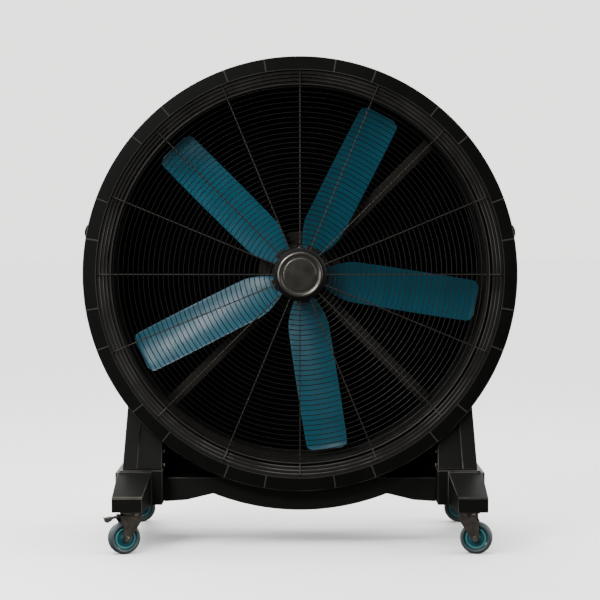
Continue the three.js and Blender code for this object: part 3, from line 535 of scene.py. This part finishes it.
class FAN_OT_stage(bpy.types.Operator):
    """Sets the camera, the pale floor and the soft studio lights"""
    bl_idname = "fan.stage"
    bl_label = "Studio"

    # Name, place in metres, strength and the width of the sun's disc in degrees.
    suns = (("overhead_sun", (0, -0.5, 6), 3.4, 50), ("right_sun", (5, -0.3, 2.2), 3.8, 60),
            ("left_sun", (-5, 0.6, 2.4), 2.0, 60), ("rear_sun", (-1.2, 5, 2.8), 2.6, 60))
    # Name, place and size in metres, and power in watts. They aim at the middle of the drum.
    softboxes = (("key_upper_left", (-2.2, -2.4, 4.0), (1.5, 1.2), 148),
                 ("key_lower_left", (-1.8, -3.9, 2.8), (1.1, 0.9), 95),
                 ("rim_above", (0.4, 2.6, 4.6), (3.6, 1.4), 120),
                 ("low_front", (-3.4, -4.9, 1.0), (1.6, 0.8), 45))

    def execute(self, context):
        scene = context.scene
        self.camera(scene)
        self.floor(scene)
        self.sky(scene)
        for name, place, power, spread in self.suns:
            sun = self.lamp(name, "SUN", place, (0, 0, 0), power)
            sun.data.angle = radians(spread)
        for name, place, size, power in self.softboxes:
            lamp = self.lamp(name, "AREA", place, (0, 0, 1.0), power)
            lamp.data.shape, lamp.data.size, lamp.data.size_y = "RECTANGLE", size[0], size[1]
            # The high key lights without a glint, so that the low one alone streaks the lower left blade.
            lamp.visible_glossy = name != "key_upper_left"
        return {"FINISHED"}

    @staticmethod
    def camera(scene):
        """The camera that the photograph's front view was taken with, as the outlines in it give it."""
        camera = bpy.data.cameras.new("photo_view")
        camera.lens, camera.sensor_width, camera.clip_end = 110, 36, 200
        eye = linked("photo_view", camera)
        eye.location = (0, -7.377, 1.258)
        aim = Vector((0, 0, 0.957)) - eye.location
        eye.rotation_euler = aim.to_track_quat("-Z", "Y").to_euler()
        scene.camera = eye

    @staticmethod
    def floor(scene):
        """A floor 120 m wide that lights and mirrors nothing, so that the black mouldings stay black."""
        mesh = bmesh.new()
        bmesh.ops.create_grid(mesh, x_segments=8, y_segments=8, size=60)
        floor = linked("studio_floor", stored("studio_floor", mesh))
        floor.data.materials.append(floor_painted(scene.fan_colours.floor))
        floor.visible_diffuse = floor.visible_glossy = False

    @staticmethod
    def lamp(name, kind, place, target, power):
        lamp = linked(name, bpy.data.lights.new(name, kind))
        lamp.data.energy = power
        lamp.visible_camera = False
        lamp.location = place
        lamp.rotation_euler = (Vector(target) - Vector(place)).to_track_quat("-Z", "Y").to_euler()
        return lamp

    @staticmethod
    def sky(scene):
        """A pale backdrop to the eye that gives the object only a low, even light."""
        world = bpy.data.worlds.new("pale_studio")
        world.use_nodes = True
        tree = world.node_tree
        tree.nodes.clear()
        seen = add(tree, "LightPath").outputs["Is Camera Ray"]
        bright = add(tree, "Background", {"Color": linear("#f4f3f1"), "Strength": 2.7}).outputs[0]
        dim = add(tree, "Background", {"Color": linear("#f4f3f1"), "Strength": 0.2}).outputs[0]
        mixed = add(tree, "MixShader", {}, {0: seen, 1: dim, 2: bright}).outputs[0]
        add(tree, "OutputWorld", {}, {"Surface": mixed})
        scene.world = world


class FAN_OT_drum(bpy.types.Operator):
    """Makes the ribbed barrel and the two flanged rims"""
    bl_idname = "fan.drum"
    bl_label = "Drum"

    # The stepped mouth's corners: radius and distance from the middle plane. Each step is 13 mm wide.
    mouth_steps, step_wide = ((796, 208), (783, 198), (770, 188)), 13

    def execute(self, context):
        sizes, paint = context.scene.fan_sizes, paints()
        self.rims(sizes.round_steps, paint)
        self.barrel(sizes.round_steps, sizes.edge / MM, paint)
        self.straps(paint)
        return {"FINISHED"}

    def rims(self, steps, paint):
        """The front flange with its stepped mouth and webs, and the rear one with a conical mouth."""
        stepped = [(798, FLANGE_FACE)]
        for radius, y in self.mouth_steps:
            stepped += [(radius, y), (radius - self.step_wide, y)]
        # The step faces of the mouth take the lit mouth black: painted light.
        front = painted(soften(turned(self.rim_outline(-1, stepped), steps), 2.6, 3), 1, self.in_mouth)
        piece("front_rim_moulding", front, [paint["rims"], paint["mouth"]], "drum_plastic", "front_rim")
        rear = soften(turned(self.rim_outline(1, [(796, FLANGE_FACE), (760, 188)]), steps), 1.8, 2)
        piece("rear_rim_moulding", rear, paint["rims"], "drum_plastic", "rear_rim")
        # Two webs in each twelfth of the flange, and a bead round its inner edge, both in the paler web black
        # as a painted highlight.
        webs = [swung(30 * i + side * 9.5) for i in range(12) for side in (-1, 1)]
        web = soften(block((-2.8, 2.8), (-222.4, -219), (799, 848)), 1.2, 2)
        bead = turned(bead_outline(798.4, -219.4, 1.5, 6), steps)
        piece("rim_webs", joined([repeated(web, webs), bead]), paint["web"], "drum_plastic")

    @staticmethod
    def rim_outline(side, mouth):
        """A rim's section on one side of the middle plane: face, mouth, the guard's seat and the back."""
        outline = [(FLANGE, FLANGE_FACE), *mouth, (756, MOUTH_FACE), (MOUTH, MOUTH_FACE),
                   (MOUTH, MOUTH_BACK), (768, MOUTH_BACK), (790, FLANGE_BACK), (FLANGE, FLANGE_BACK)]
        return [(radius, side * y) for radius, y in outline]

    def in_mouth(self, spot):
        """Whether a face lies in the stepped mouth and off a step's corner; the corners keep the darker rim
        black as painted shade.
        """
        radius = hypot(spot.x, spot.z)
        return (740 < radius < 797 and spot.y < -174
                and all(abs(radius - (corner - 0.8)) > 1.9 for corner, _ in self.mouth_steps))

    def barrel(self, steps, edge, paint):
        """The tube with its moulded grooves, the ribs round it and the bobbin for the cable's coil."""
        # Two grooves 6 mm wide and 2.5 mm deep, on the inside and the outside.
        groove = [(0, 3), (2.5, 1.5), (2.5, -1.5), (0, -3)]
        inside = [(BARREL_IN + deep, y - off) for y in (-46, 46) for deep, off in groove]
        outside = [(BARREL_OUT - deep, y + off) for y in (46, -46) for deep, off in groove]
        wall = [(BARREL_IN, -BARREL_HALF), *inside, (BARREL_IN, BARREL_HALF), (BARREL_OUT, BARREL_HALF),
                *outside, (BARREL_OUT, -BARREL_HALF)]
        # The inner wall takes the lit mouth black: painted light.
        tube = painted(turned(wall, steps), 1, within(0, BARREL_IN + 4))
        ribs = [self.rib(20 * i, edge) for i in range(18)]
        bobbin = soften(turned([(0, -6), (24, -6), (24, 14), (0, 14)], 32, True), 1.6)
        placed(bobbin, moved(0, 122, RIB_TOP) @ about("X", pi / 2))
        piece("drum_barrel_moulding", joined([tube, *ribs, placed(bobbin, swung(BOBBIN_ANGLE))]),
              [paint["barrel"], paint["mouth"]], "drum_plastic", "drum_panel_right", "drum_panel_top",
              "drum_panel_left")

    @staticmethod
    def rib(angle, edge):
        """A drafted box rib; level with the hub it is parted into three knuckles on a low bar."""
        def bar(foot, head, low=RIB_FOOT, high=RIB_TOP):
            outline = [(foot[0], low), (foot[1], low), (head[1], high), (head[0], high)]
            return soften(extruded(outline, "YZ", -30, 30), edge, 3)
        # The rib under the control box ends in front of it.
        rear, rear_head = (3.6, 3.6) if angle == 40 else (RIB_HALF, RIB_HALF - RIB_DRAFT)
        if angle % 180:
            bars = [bar((-RIB_HALF, rear), (RIB_DRAFT - RIB_HALF, rear_head))]
        else:
            bars = [bar((-RIB_HALF, RIB_HALF), (-152, 152), high=814), bar((-152, -50.5), (-146, -50.5), 800),
                    bar((-41.5, 41.5), (-41.5, 41.5), 800), bar((50.5, 152), (50.5, 146), 800)]
        return placed(joined(bars), swung(angle))

    @staticmethod
    def straps(paint):
        """The straps over the two panel joints away from the control box, with a screw every 70 mm."""
        joints, top = (150, 270), 764.5
        strap = soften(block((-9, 9), (-165.5, 165.5), (758, top)), 1.2, 2)
        piece("panel_joint_straps", repeated(strap, [swung(angle) for angle in joints]), paint["barrel"],
              "drum_plastic")
        spots = [swung(angle) @ moved(0, y, top) for angle in joints
                 for y in range(-140, 141, 70)]
        piece("panel_joint_screws", repeated(dome_screw(5, 3), spots), paint["steel"], "bright_steel")


class FAN_OT_guards(bpy.types.Operator):
    """Makes the two domed wire guards, the dust screen and the turned cap"""
    bl_idname = "fan.guards"
    bl_label = "Guards"

    def execute(self, context):
        sizes, paint = context.scene.fan_sizes, paints()
        wire, spoke = sizes.guard_wire / MM, sizes.spoke_wire / MM
        rods = [paint["wire"], paint["spoke"]]
        # Both guards are modelled bulging to the rear; the front one is then turned about.
        front = [self.ring(100 + 19.8 * (i + 1), wire) for i in range(32)] + self.frame(spoke, 16, wire)
        piece("front_guard_wires", placed(joined(front), about("Z", pi)), rods, "coated_wire", "front_guard")
        count = int((SEAT_IN - GUARD_HUB) / (sizes.rear_pitch / MM))
        pitch = (SEAT_IN - GUARD_HUB) / (count + 1)
        rear = [self.ring(GUARD_HUB + pitch * (i + 1), wire, 6) for i in range(count)]
        piece("rear_guard_wires", joined(rear + self.frame(spoke, 8, wire)), rods, "coated_wire",
              "rear_guard")
        tails = repeated(self.tail(spoke), [swung(22.5 * i) for i in range(16)])
        piece("front_guard_tails", tails, paint["spoke"], "coated_wire")
        heads = [seat(22.5 * i, 789, -209.5) for i in range(16)]
        piece("guard_screws", repeated(dome_screw(5, 3.5), heads), paint["black"], "black_plastic")
        # The rear guard's screws: eight square to the conical mouth, six in its hub plate.
        cone = atan2(-36, -32)
        backs = [swung(45 * i + 22.5) @ moved(0, 204.2, 778) @ about("X", cone)
                 for i in range(8)]
        backs += [seat(60 * i + 30, 87, dome(GUARD_HUB) + 4.8, -1) for i in range(6)]
        piece("rear_guard_screws", repeated(dome_screw(6, 4), backs), paint["zinc"], "bright_steel")
        self.screen(sizes.mesh_pitch / MM, paint["mesh"])
        self.cap(paint)
        return {"FINISHED"}

    @staticmethod
    def ring(radius, wire, sides=8):
        """One round wire ring on the dome, towards +Y."""
        mesh = bmesh.new()
        bmesh.ops.create_circle(mesh, cap_ends=False, segments=sides, radius=wire / 2,
                                matrix=moved(radius, dome(radius), 0))
        return spun(mesh, int(40 + radius / 5))

    @staticmethod
    def frame(spoke, count, wire):
        """Hub plate, seat ring with a bright hoop on it, and the spokes that lie behind the rings."""
        under = (spoke + wire) / 2 - 0.4
        bar = bent(rod(spoke / 2, 92, 744, 8, 14), lambda z: dome(z) - under)
        bars = repeated(bar, [swung(360 / count * i) for i in range(count)])
        face = dome(GUARD_HUB) + 5
        relief = [(0, face - 11), (GUARD_HUB, face - 11), (GUARD_HUB, face - 3), (98, face), (76, face),
                  (72, face - 3), (40, face - 3), (37, face - 1), (0, face - 1)]
        plate = soften(turned(relief, 72, True), 1, 2, 20)
        low, high = 176.4, 187.4
        rail = [(SEAT_IN, low), (SEAT_OUT, low), (SEAT_OUT, high), (SEAT_IN, high)]
        hoop = turned(bead_outline(744, 188.6, 2.2, 8), 192)
        return [plate, soften(turned(rail, 192), 3.5, 3), painted(hoop, 1), painted(bars, 1)]

    @staticmethod
    def tail(spoke):
        """The end of a spoke, bent forward over the stepped mouth to the flange's lip."""
        start, run, rise = 744, 39, 20.5
        return bent(rod(spoke / 2, 742, 796, 8, 18),
                    lambda z: -190 - rise * min(1, max(0, (z - start) / run)))

    @staticmethod
    def screen(pitch, material):
        """Two crossed layers of flat bands on a closed dark disc, cut to the round of the seat ring; the disc
        is painted shade behind the bands.
        """
        reach, half, count = SEAT_IN - 1.2, pitch * 0.475, int((SEAT_IN - 1.2) / pitch)
        bands = []
        for low, high, turn in ((176.5, 176.95, 0), (177.05, 177.5, pi / 2)):
            for middle in (i * pitch for i in range(-count, count + 1)):
                end = sqrt(max(0, reach ** 2 - (abs(middle) + half) ** 2))
                if end > pitch:
                    band = block((middle - half, middle + half), (low, high), (-end, end))
                    bands.append(placed(band, about("Y", turn)))
        # The closed near-black disc is painted shade: it keeps the view through the drum dark.
        shade_sheet = turned([(0, 176.97), (reach, 176.97), (reach, 177.03), (0, 177.03)], 96, True)
        piece("dust_screen_mesh", joined([*bands, shade_sheet]), material, "screen_mesh", "dust_screen")

    @staticmethod
    def cap(paint):
        """The turned cap: a dark skirt, a raised ring and a dished face with a fine line, ring and line paler
        as painted highlight.
        """
        outline = [(0, -215), (98, -215), (98, -219), (90, -221), (88, -226.5), (82, -228.4), (76, -226.5),
                   (73, -224.4), (64, -224.4), (62, -226), (0, -226)]
        disc = soften(turned(outline, 96, True), 1.1, 2, 30)
        for mark, low, high in ((1, 89.5, 99), (2, 75, 89.5), (2, 61, 64)):
            painted(disc, mark, within(low, high))
        piece("guard_cap_turned", disc, [paint["cap"], paint["black"], paint["cap_ring"]], "cap_metal",
              "guard_cap")


class FAN_OT_rotor(bpy.types.Operator):
    """Makes the five painted blades, the clamp discs and the shaft"""
    bl_idname = "fan.rotor"
    bl_label = "Rotor"

    def execute(self, context):
        paint = paints()
        stations = [63 + 72 * i for i in range(5)]
        for i, angle in enumerate(stations, 1):
            shank = soften(block((-28, 28), (-9.5, 9.5), (52, 116)), 2.5, 3)
            for kind, mesh, look in (("skin", self.blade(), "blade"), ("shank", shank, "cast")):
                piece("blade_%d_%s" % (i, kind), placed(mesh, swung(angle)), paint[look], "blade_coat",
                      "blade_%d" % i, body="rotor", at=ROTOR, smooth=40)
        hub = [(20.4, -9.5), (46, -9.5), (46, 9.9), (98, 9.9), (98, 21.9), (52, 21.9), (46, 44), (20.4, 44)]
        disc = [(0, -9.9), (98, -9.9), (98, -19.9), (60, -23.9), (0, -23.9)]
        shaft = [(0, -9.5), (20, -9.5), (20, 110), (0, 110)]
        bolts = [seat(angle + side * 11, 82, -19.6) for angle in stations for side in (-1, 1)]
        for name, mesh, look, slot, *nodes in (
                ("rotor_hub_casting", soften(turned(hub, 64), 1.6), "cast", "cast_alloy", "rotor_hub"),
                ("hub_plate_casting", soften(turned(disc, 64, True), 1.6, 2, 18), "cast", "cast_alloy",
                 "hub_plate"),
                ("motor_shaft_ground", soften(turned(shaft, 48, True), 1.2), "steel", "bright_steel",
                 "motor_shaft"),
                ("clamp_bolts", repeated(hexagon_bolt(13, 6, 10), bolts), "steel", "bright_steel")):
            piece(name, mesh, paint[look], slot, *nodes, body="rotor", at=ROTOR)
        return {"FINISHED"}

    @staticmethod
    def blade():
        """A thin cambered section carried out along the radius, widened and twisted, with a rounded tip."""
        root, tip, corner = 101, 710, 26
        mesh = rod(0.5, 0, 1, 28, 47)
        run = mesh.verts.layers.float_vector.new("blade_run")
        for v in mesh.verts:
            across, thick, along = v.co.x, v.co.y, v.co.z
            # 92 mm wide at the root, 176 mm a fifth of the way out and 8 mm less at the tip.
            chord = 92 + 84 * sin(pi / 2 * min(1, along / 0.2)) - 8 * along ** 3
            left = (1 - along) * (tip - root)
            if left < corner:
                chord -= 2 * (corner - sqrt(corner ** 2 - (corner - left) ** 2))
            # Pitched 30 degrees at the root and 13 at the tip, 8.6 mm thick at the root, 7% camber.
            pitch = radians(30 - 17 * sqrt(along))
            span = chord * across
            lift = chord * 0.07 * (1 - 4 * across * across) + thick * 8.6 * (1 - 0.45 * along)
            v[run] = (span * MM, along * 0.6, 0)
            v.co = (span * cos(pitch) - lift * sin(pitch),
                    span * sin(pitch) + lift * cos(pitch), root + along * (tip - root))
        bmesh.ops.recalc_face_normals(mesh, faces=mesh.faces)
        return mesh


class FAN_OT_motor(bpy.types.Operator):
    """Makes the finned motor, its mounting plate and the four arms"""
    bl_idname = "fan.motor"
    bl_label = "Motor"

    def execute(self, context):
        paint = paints()
        body = [(0, 97.4), (70, 97.4), (93, 82.4), (93, 45), (122, 45), (122, -8), (110, -20), (21.5, -20),
                (21.5, 51), (0, 51)]
        # Fins all round but for the gaps that the arms pass through.
        fins = repeated(soften(block((-2, 2), (-12, 44), (112, 125)), 0.9, 2),
                        [swung(7.5 * i) for i in range(48) if i % 12 not in (5, 6, 7)])
        piece("motor_housing_finned", joined([soften(turned(body, 72, True), 2, 2, 20), fins]),
              paint["cast"], "cast_alloy", "motor_body")
        plate = [(94, 45.4), (168, 45.4), (168, 57.4), (94, 57.4)]
        piece("motor_plate_turned", soften(turned(plate, 96), 1.5, 2), paint["cast"], "cast_alloy",
              "motor_plate")
        for i in range(4):
            rounded("motor_arm_%d" % (i + 1), "beam", 3.5, 3, paint["cast"], "cast_alloy")
        spots = [seat(45 + 90 * i + turn, 150, 57.2, -1) for i in range(4) for turn in (-6, 6)]
        spots += [seat(30 * i, 98, -19.8) for i in range(12)]
        piece("motor_bolts", repeated(hexagon_bolt(12, 6, 9.5), spots), paint["steel"], "bright_steel")
        return {"FINISHED"}


class FAN_OT_fittings(bpy.types.Operator):
    """Makes the push bars, the control box with its screen, and the coiled cable"""
    bl_idname = "fan.fittings"
    bl_label = "Fittings"

    def execute(self, context):
        paint = paints()
        spindle = [(0, -199.6), (30, -199.6), (30, -150), (44, -145), (44, -138), (22, -135), (22, -96.4),
                   (42, -96.4), (44, -92.4), (44, -62.4), (0, -62.4)]
        for side, angle in (("right", 11.5), ("left", 168.5)):
            turn, out = radians(angle), 822
            at = DRUM @ moved(out * cos(turn), 0, out * sin(turn))
            bar = soften(turned([(0, -62), (28, -62), (28, 199.6), (0, 199.6)], 48, True), 2, 2)
            piece("push_bar_%s_tube" % side, bar, paint["bar"], "bar_coat", "push_bar_" + side, at=at)
            piece("bar_spindle_%s_moulding" % side, soften(turned(spindle, 48, True), 1.4), paint["black"],
                  "black_plastic", "bar_spindle_" + side, at=at)
        rounded("control_box", "moulding", 3, 3, paint["barrel"], "drum_plastic")
        rounded("display_bezel", "frame", 1.6, 2, paint["bezel"], "bezel_plastic")
        rounded("display_screen", "pane", 0.6, 2, paint["display"], "screen_glass")
        # The bezel leans forward by 16 mm over the box's 192.
        tilt = swung(BOX_ANGLE) @ moved(0, 100, 858.4) @ about("X", atan2(16, 192))
        corners = [tilt @ moved(x, y, 6) for x in (-60, 60) for y in (-80, 80)]
        piece("bezel_screws", repeated(dome_screw(3.4, 2.2), corners), paint["steel"], "bright_steel")
        gland = [(0, 0), (13, 0), (13, 9), (9, 12), (9, 20), (0, 20)]
        under_box = moved(76.4, 150, 832) @ about("Z", -pi / 2)
        for name, place in (("box_gland", swung(BOX_ANGLE) @ under_box),
                            ("drum_gland", seat(28.5, 762.4, -110))):
            piece(name + "_moulding", soften(turned(gland, 6, True), 0.8, 2, 20), paint["black"],
                  "black_plastic", name, at=DRUM @ place)
        self.cable(paint["cable"])
        return {"FINISHED"}

    @staticmethod
    def cable(material):
        """The cable along its route: box gland, in round the bobbin, out over the turns, drum gland."""
        def knot(angle, height, y, across=0.0):
            a = radians(angle)
            return Vector((height * cos(a) + across * sin(a), y,
                           height * sin(a) - across * cos(a)))
        pitch, turns, steps = 9.2, 2.5, 16
        outer = 29.5 + pitch * turns
        points = [knot(BOX_ANGLE, 832, 150, 96.8), knot(BOX_ANGLE, 832, 150, 108.8),
                  knot(BOBBIN_ANGLE, 846, 125 + outer, -34)]
        for i in range(int(turns * steps) + 1):
            done, radius = i / steps, outer - pitch * i / steps
            climb = max(0, 1 - (turns - done) / 0.35)
            points.append(knot(BOBBIN_ANGLE, 846 + climb * 10, 122 + radius * cos(2 * pi * done),
                               radius * sin(2 * pi * done)))
        points += [knot(BOBBIN_ANGLE, 856, 86.5, -24), knot(25, 842, 30), knot(25.6, 828, -50),
                   knot(27.2, 815, -100), knot(28.5, 796.4, -110), knot(28.5, 782.8, -110)]
        curve = bpy.data.curves.new("cable_route", "CURVE")
        curve.dimensions, curve.bevel_depth, curve.bevel_resolution, curve.use_fill_caps = "3D", 4, 3, True
        line = curve.splines.new("POLY")
        smooth = rounded_route(points, 8)
        line.points.add(len(smooth) - 1)
        for place, point in zip(line.points, smooth):
            place.co = (*point, 1)
        holder = linked("cable_route", curve)
        tube = bpy.data.meshes.new_from_object(holder)
        bpy.data.objects.remove(holder)
        mesh = bmesh.new()
        mesh.from_mesh(tube)
        bpy.data.meshes.remove(tube)
        piece("motor_cable_sheath", closed(mesh), material, "cable_sheath", "motor_cable")


def rounded_route(points, steps):
    """Centripetal Catmull-Rom points through the given ones."""
    ends = [2 * points[0] - points[1], *points, 2 * points[-1] - points[-2]]
    route = [points[0]]
    for a, b, c, d in zip(ends, ends[1:], ends[2:], ends[3:]):
        gap = [max(1e-4, (q - p).length ** 0.5) for p, q in ((a, b), (b, c), (c, d))]
        into = ((b - a) / gap[0] - (c - a) / (gap[0] + gap[1]) + (c - b) / gap[1]) * gap[1]
        away = ((c - b) / gap[1] - (d - b) / (gap[1] + gap[2]) + (d - c) / gap[2]) * gap[1]
        for i in range(1, steps + 1):
            t = i / steps
            route.append((2 * t ** 3 - 3 * t ** 2 + 1) * b + (t ** 3 - 2 * t ** 2 + t) * into
                         + (3 * t ** 2 - 2 * t ** 3) * c + (t ** 3 - t ** 2) * away)
    return route


class FAN_OT_stand(bpy.types.Operator):
    """Makes the towers, the feet and the saddle"""
    bl_idname = "fan.stand"
    bl_label = "Stand"

    def execute(self, context):
        paint, edge = paints(), context.scene.fan_sizes.edge / MM
        # The feet take the darker copy of the stand black: painted shade against the light on their tops.
        for node, look in (("tower_left", "stand"), ("foot_left", "foot"), ("tower_right", "stand"),
                           ("foot_right", "foot"), ("saddle_beam", "stand")):
            rounded(node, "moulding", edge, 3, paint[look], "stand_plastic")
        bolts = []
        for name, side in (("left", -1), ("right", 1)):
            # The web plates take the darker foot black: painted shade between drum, tower and saddle.
            piece("saddle_web_%s_plate" % name, self.web(side), paint["foot"], "stand_plastic", at=FLOOR)
            turn = about("Y", -side * pi / 2)
            spots = [(535, y, z) for y in (-16, 16) for z in (392, 340, 286)]
            spots += [(542, y, z) for y in (-168, 168) for z in (412, 368, 312)]
            bolts += [moved(side * x, y, z) @ turn for x, y, z in spots]
        piece("tower_bolts", repeated(hexagon_bolt(16, 8, 13), bolts), paint["steel"], "bright_steel",
              at=FLOOR)
        return {"FINISHED"}

    @staticmethod
    def web(side):
        """The plate that closes the gap between drum, tower and saddle, with a bead and a bolted tab."""
        def arc(radius, low, high):
            spots = [low + (high - low) * i / 24 for i in range(25)]
            return [(side * x, HUB - sqrt(radius ** 2 - x ** 2)) for x in spots]
        near, far, foot = 272, 541, 256
        plate = extruded([(side * far, foot), (side * near, foot), *arc(848, near, far)], "XZ", -3, 3)
        bead = extruded([*arc(847, 276, 540), *reversed(arc(859, 290, 540))], "XZ", -10, 10)
        tab = block((side * 538.5 - 3.5, side * 538.5 + 3.5), (-30, 30), (261, 408))
        return joined([soften(part, 1.2, 2) for part in (plate, bead, tab)])


class FAN_OT_castors(bpy.types.Operator):
    """Makes the four swivel castors and the two brake pedals"""
    bl_idname = "fan.castors"
    bl_label = "Castors"

    # Sections of the wheel's parts, radius and distance from its middle.
    tread = both_sides([(44.4, -18), (52, -22), (61.5, -15)])
    core = both_sides([(6.8, -23), (16, -23), (19, -18), (30, -15.5), (39, -16), (43.4, -18)])
    band = both_sides([(34, -17.2), (35, -18.6), (38.6, -18.6), (39.6, -17.2)])

    def execute(self, context):
        paint = paints()
        for end in CASTORS:
            joint, castor, wheel = JOINTS["wheel_spin_" + end], "castor_" + end, "wheel_" + end
            turn = about("Z", atan2(-joint["axis"][0], joint["axis"][1]))
            at = Matrix.Translation([c / MM for c in joint["pos_m"]]) @ turn
            rounded("castor_plate_" + end, "pressing", 0.9, 2, paint["zinc"], "zinc_plate")
            rounded("castor_fork_" + end, "pressing", 1.2, 2, paint["zinc"], "zinc_plate", castor)
            piece("castor_axle_%s_bolt" % end, self.axle(), paint["steel"], "zinc_plate",
                  "castor_axle_" + end, body=castor, at=at)
            piece("castor_tyre_%s_tread" % end, soften(turned(self.tread, 72), 3.2, 3, 20), paint["tyre"],
                  "castor_tyre", "castor_tyre_" + end, body=wheel, at=at)
            piece("castor_wheel_%s_core" % end, soften(turned(self.core, 64), 1, 2, 30), paint["wheel"],
                  "castor_core", "castor_wheel_" + end, body=wheel, at=at)
            piece("castor_ring_%s_band" % end, turned(self.band, 64), paint["ring"], "castor_core",
                  body=wheel, at=at)
            if end in BRAKED:
                press = JOINTS["brake_press_" + end]["pos_m"]
                toe = placed(self.toe(), Matrix.Translation([c / MM for c in press]) @ turn)
                piece("brake_pedal_%s_moulding" % end, joined([carried("brake_pedal_" + end, 0.8, 2), toe]),
                      paint["pedal"], "black_plastic", "brake_pedal_" + end, body="pedal_" + end, at=FLOOR)
        return {"FINISHED"}

    @staticmethod
    def toe():
        """The block under a pedal's tread, with three grip ribs on top."""
        wedge = extruded([(36, -3), (63, -3.4), (67, -6), (60, -17), (47, -12)], "XZ", -14.6, 14.6)
        grips = [soften(block((x - 1.3, x + 1.3), (-14, 14), (z, z + 3)), 0.6, 2)
                 for x, z in ((38, 2.4), (47, 1.5), (56, 0.6))]
        return joined([soften(wedge, 1.5, 2), *grips])

    @staticmethod
    def axle():
        """A through bolt with a hexagon at each end."""
        half, face = 31, 31.2
        pin = turned([(0, -half), (6, -half), (6, half), (0, half)], 24, True)
        heads = [placed(hexagon_bolt(18, 6, 11.5), moved(0, side * face, 0)
                        @ about("X", -side * pi / 2)) for side in (1, -1)]
        return joined([pin, *heads])


class FAN_PT_panel(bpy.types.Panel):
    """Lists the fan's sizes, colours and pieces"""
    bl_label = "Drum Fan"
    bl_idname = "FAN_PT_panel"
    bl_space_type = "VIEW_3D"
    bl_region_type = "UI"
    bl_category = "Drum Fan"

    def draw(self, context):
        column = self.layout.column()
        for group in (context.scene.fan_sizes, context.scene.fan_colours):
            for name in group.__annotations__:
                column.prop(group, name)
        for operator in OPERATORS:
            column.operator(operator.bl_idname, text=operator.bl_label)


OPERATORS = (FAN_OT_stage, FAN_OT_drum, FAN_OT_guards, FAN_OT_rotor, FAN_OT_motor, FAN_OT_fittings,
             FAN_OT_stand, FAN_OT_castors)
CLASSES = (FanSizes, FanColours, *OPERATORS, FAN_PT_panel)


def register():
    for cls in CLASSES:
        bpy.utils.register_class(cls)
    bpy.types.Scene.fan_sizes = PointerProperty(type=FanSizes)
    bpy.types.Scene.fan_colours = PointerProperty(type=FanColours)


def unregister():
    del bpy.types.Scene.fan_colours
    del bpy.types.Scene.fan_sizes
    for cls in reversed(CLASSES):
        bpy.utils.unregister_class(cls)


def main():
    register()
    fan = bpy.ops.fan
    for make in (fan.stage, fan.drum, fan.guards, fan.rotor, fan.motor, fan.fittings, fan.stand, fan.castors):
        make()


if __name__ == "__main__":
    main()
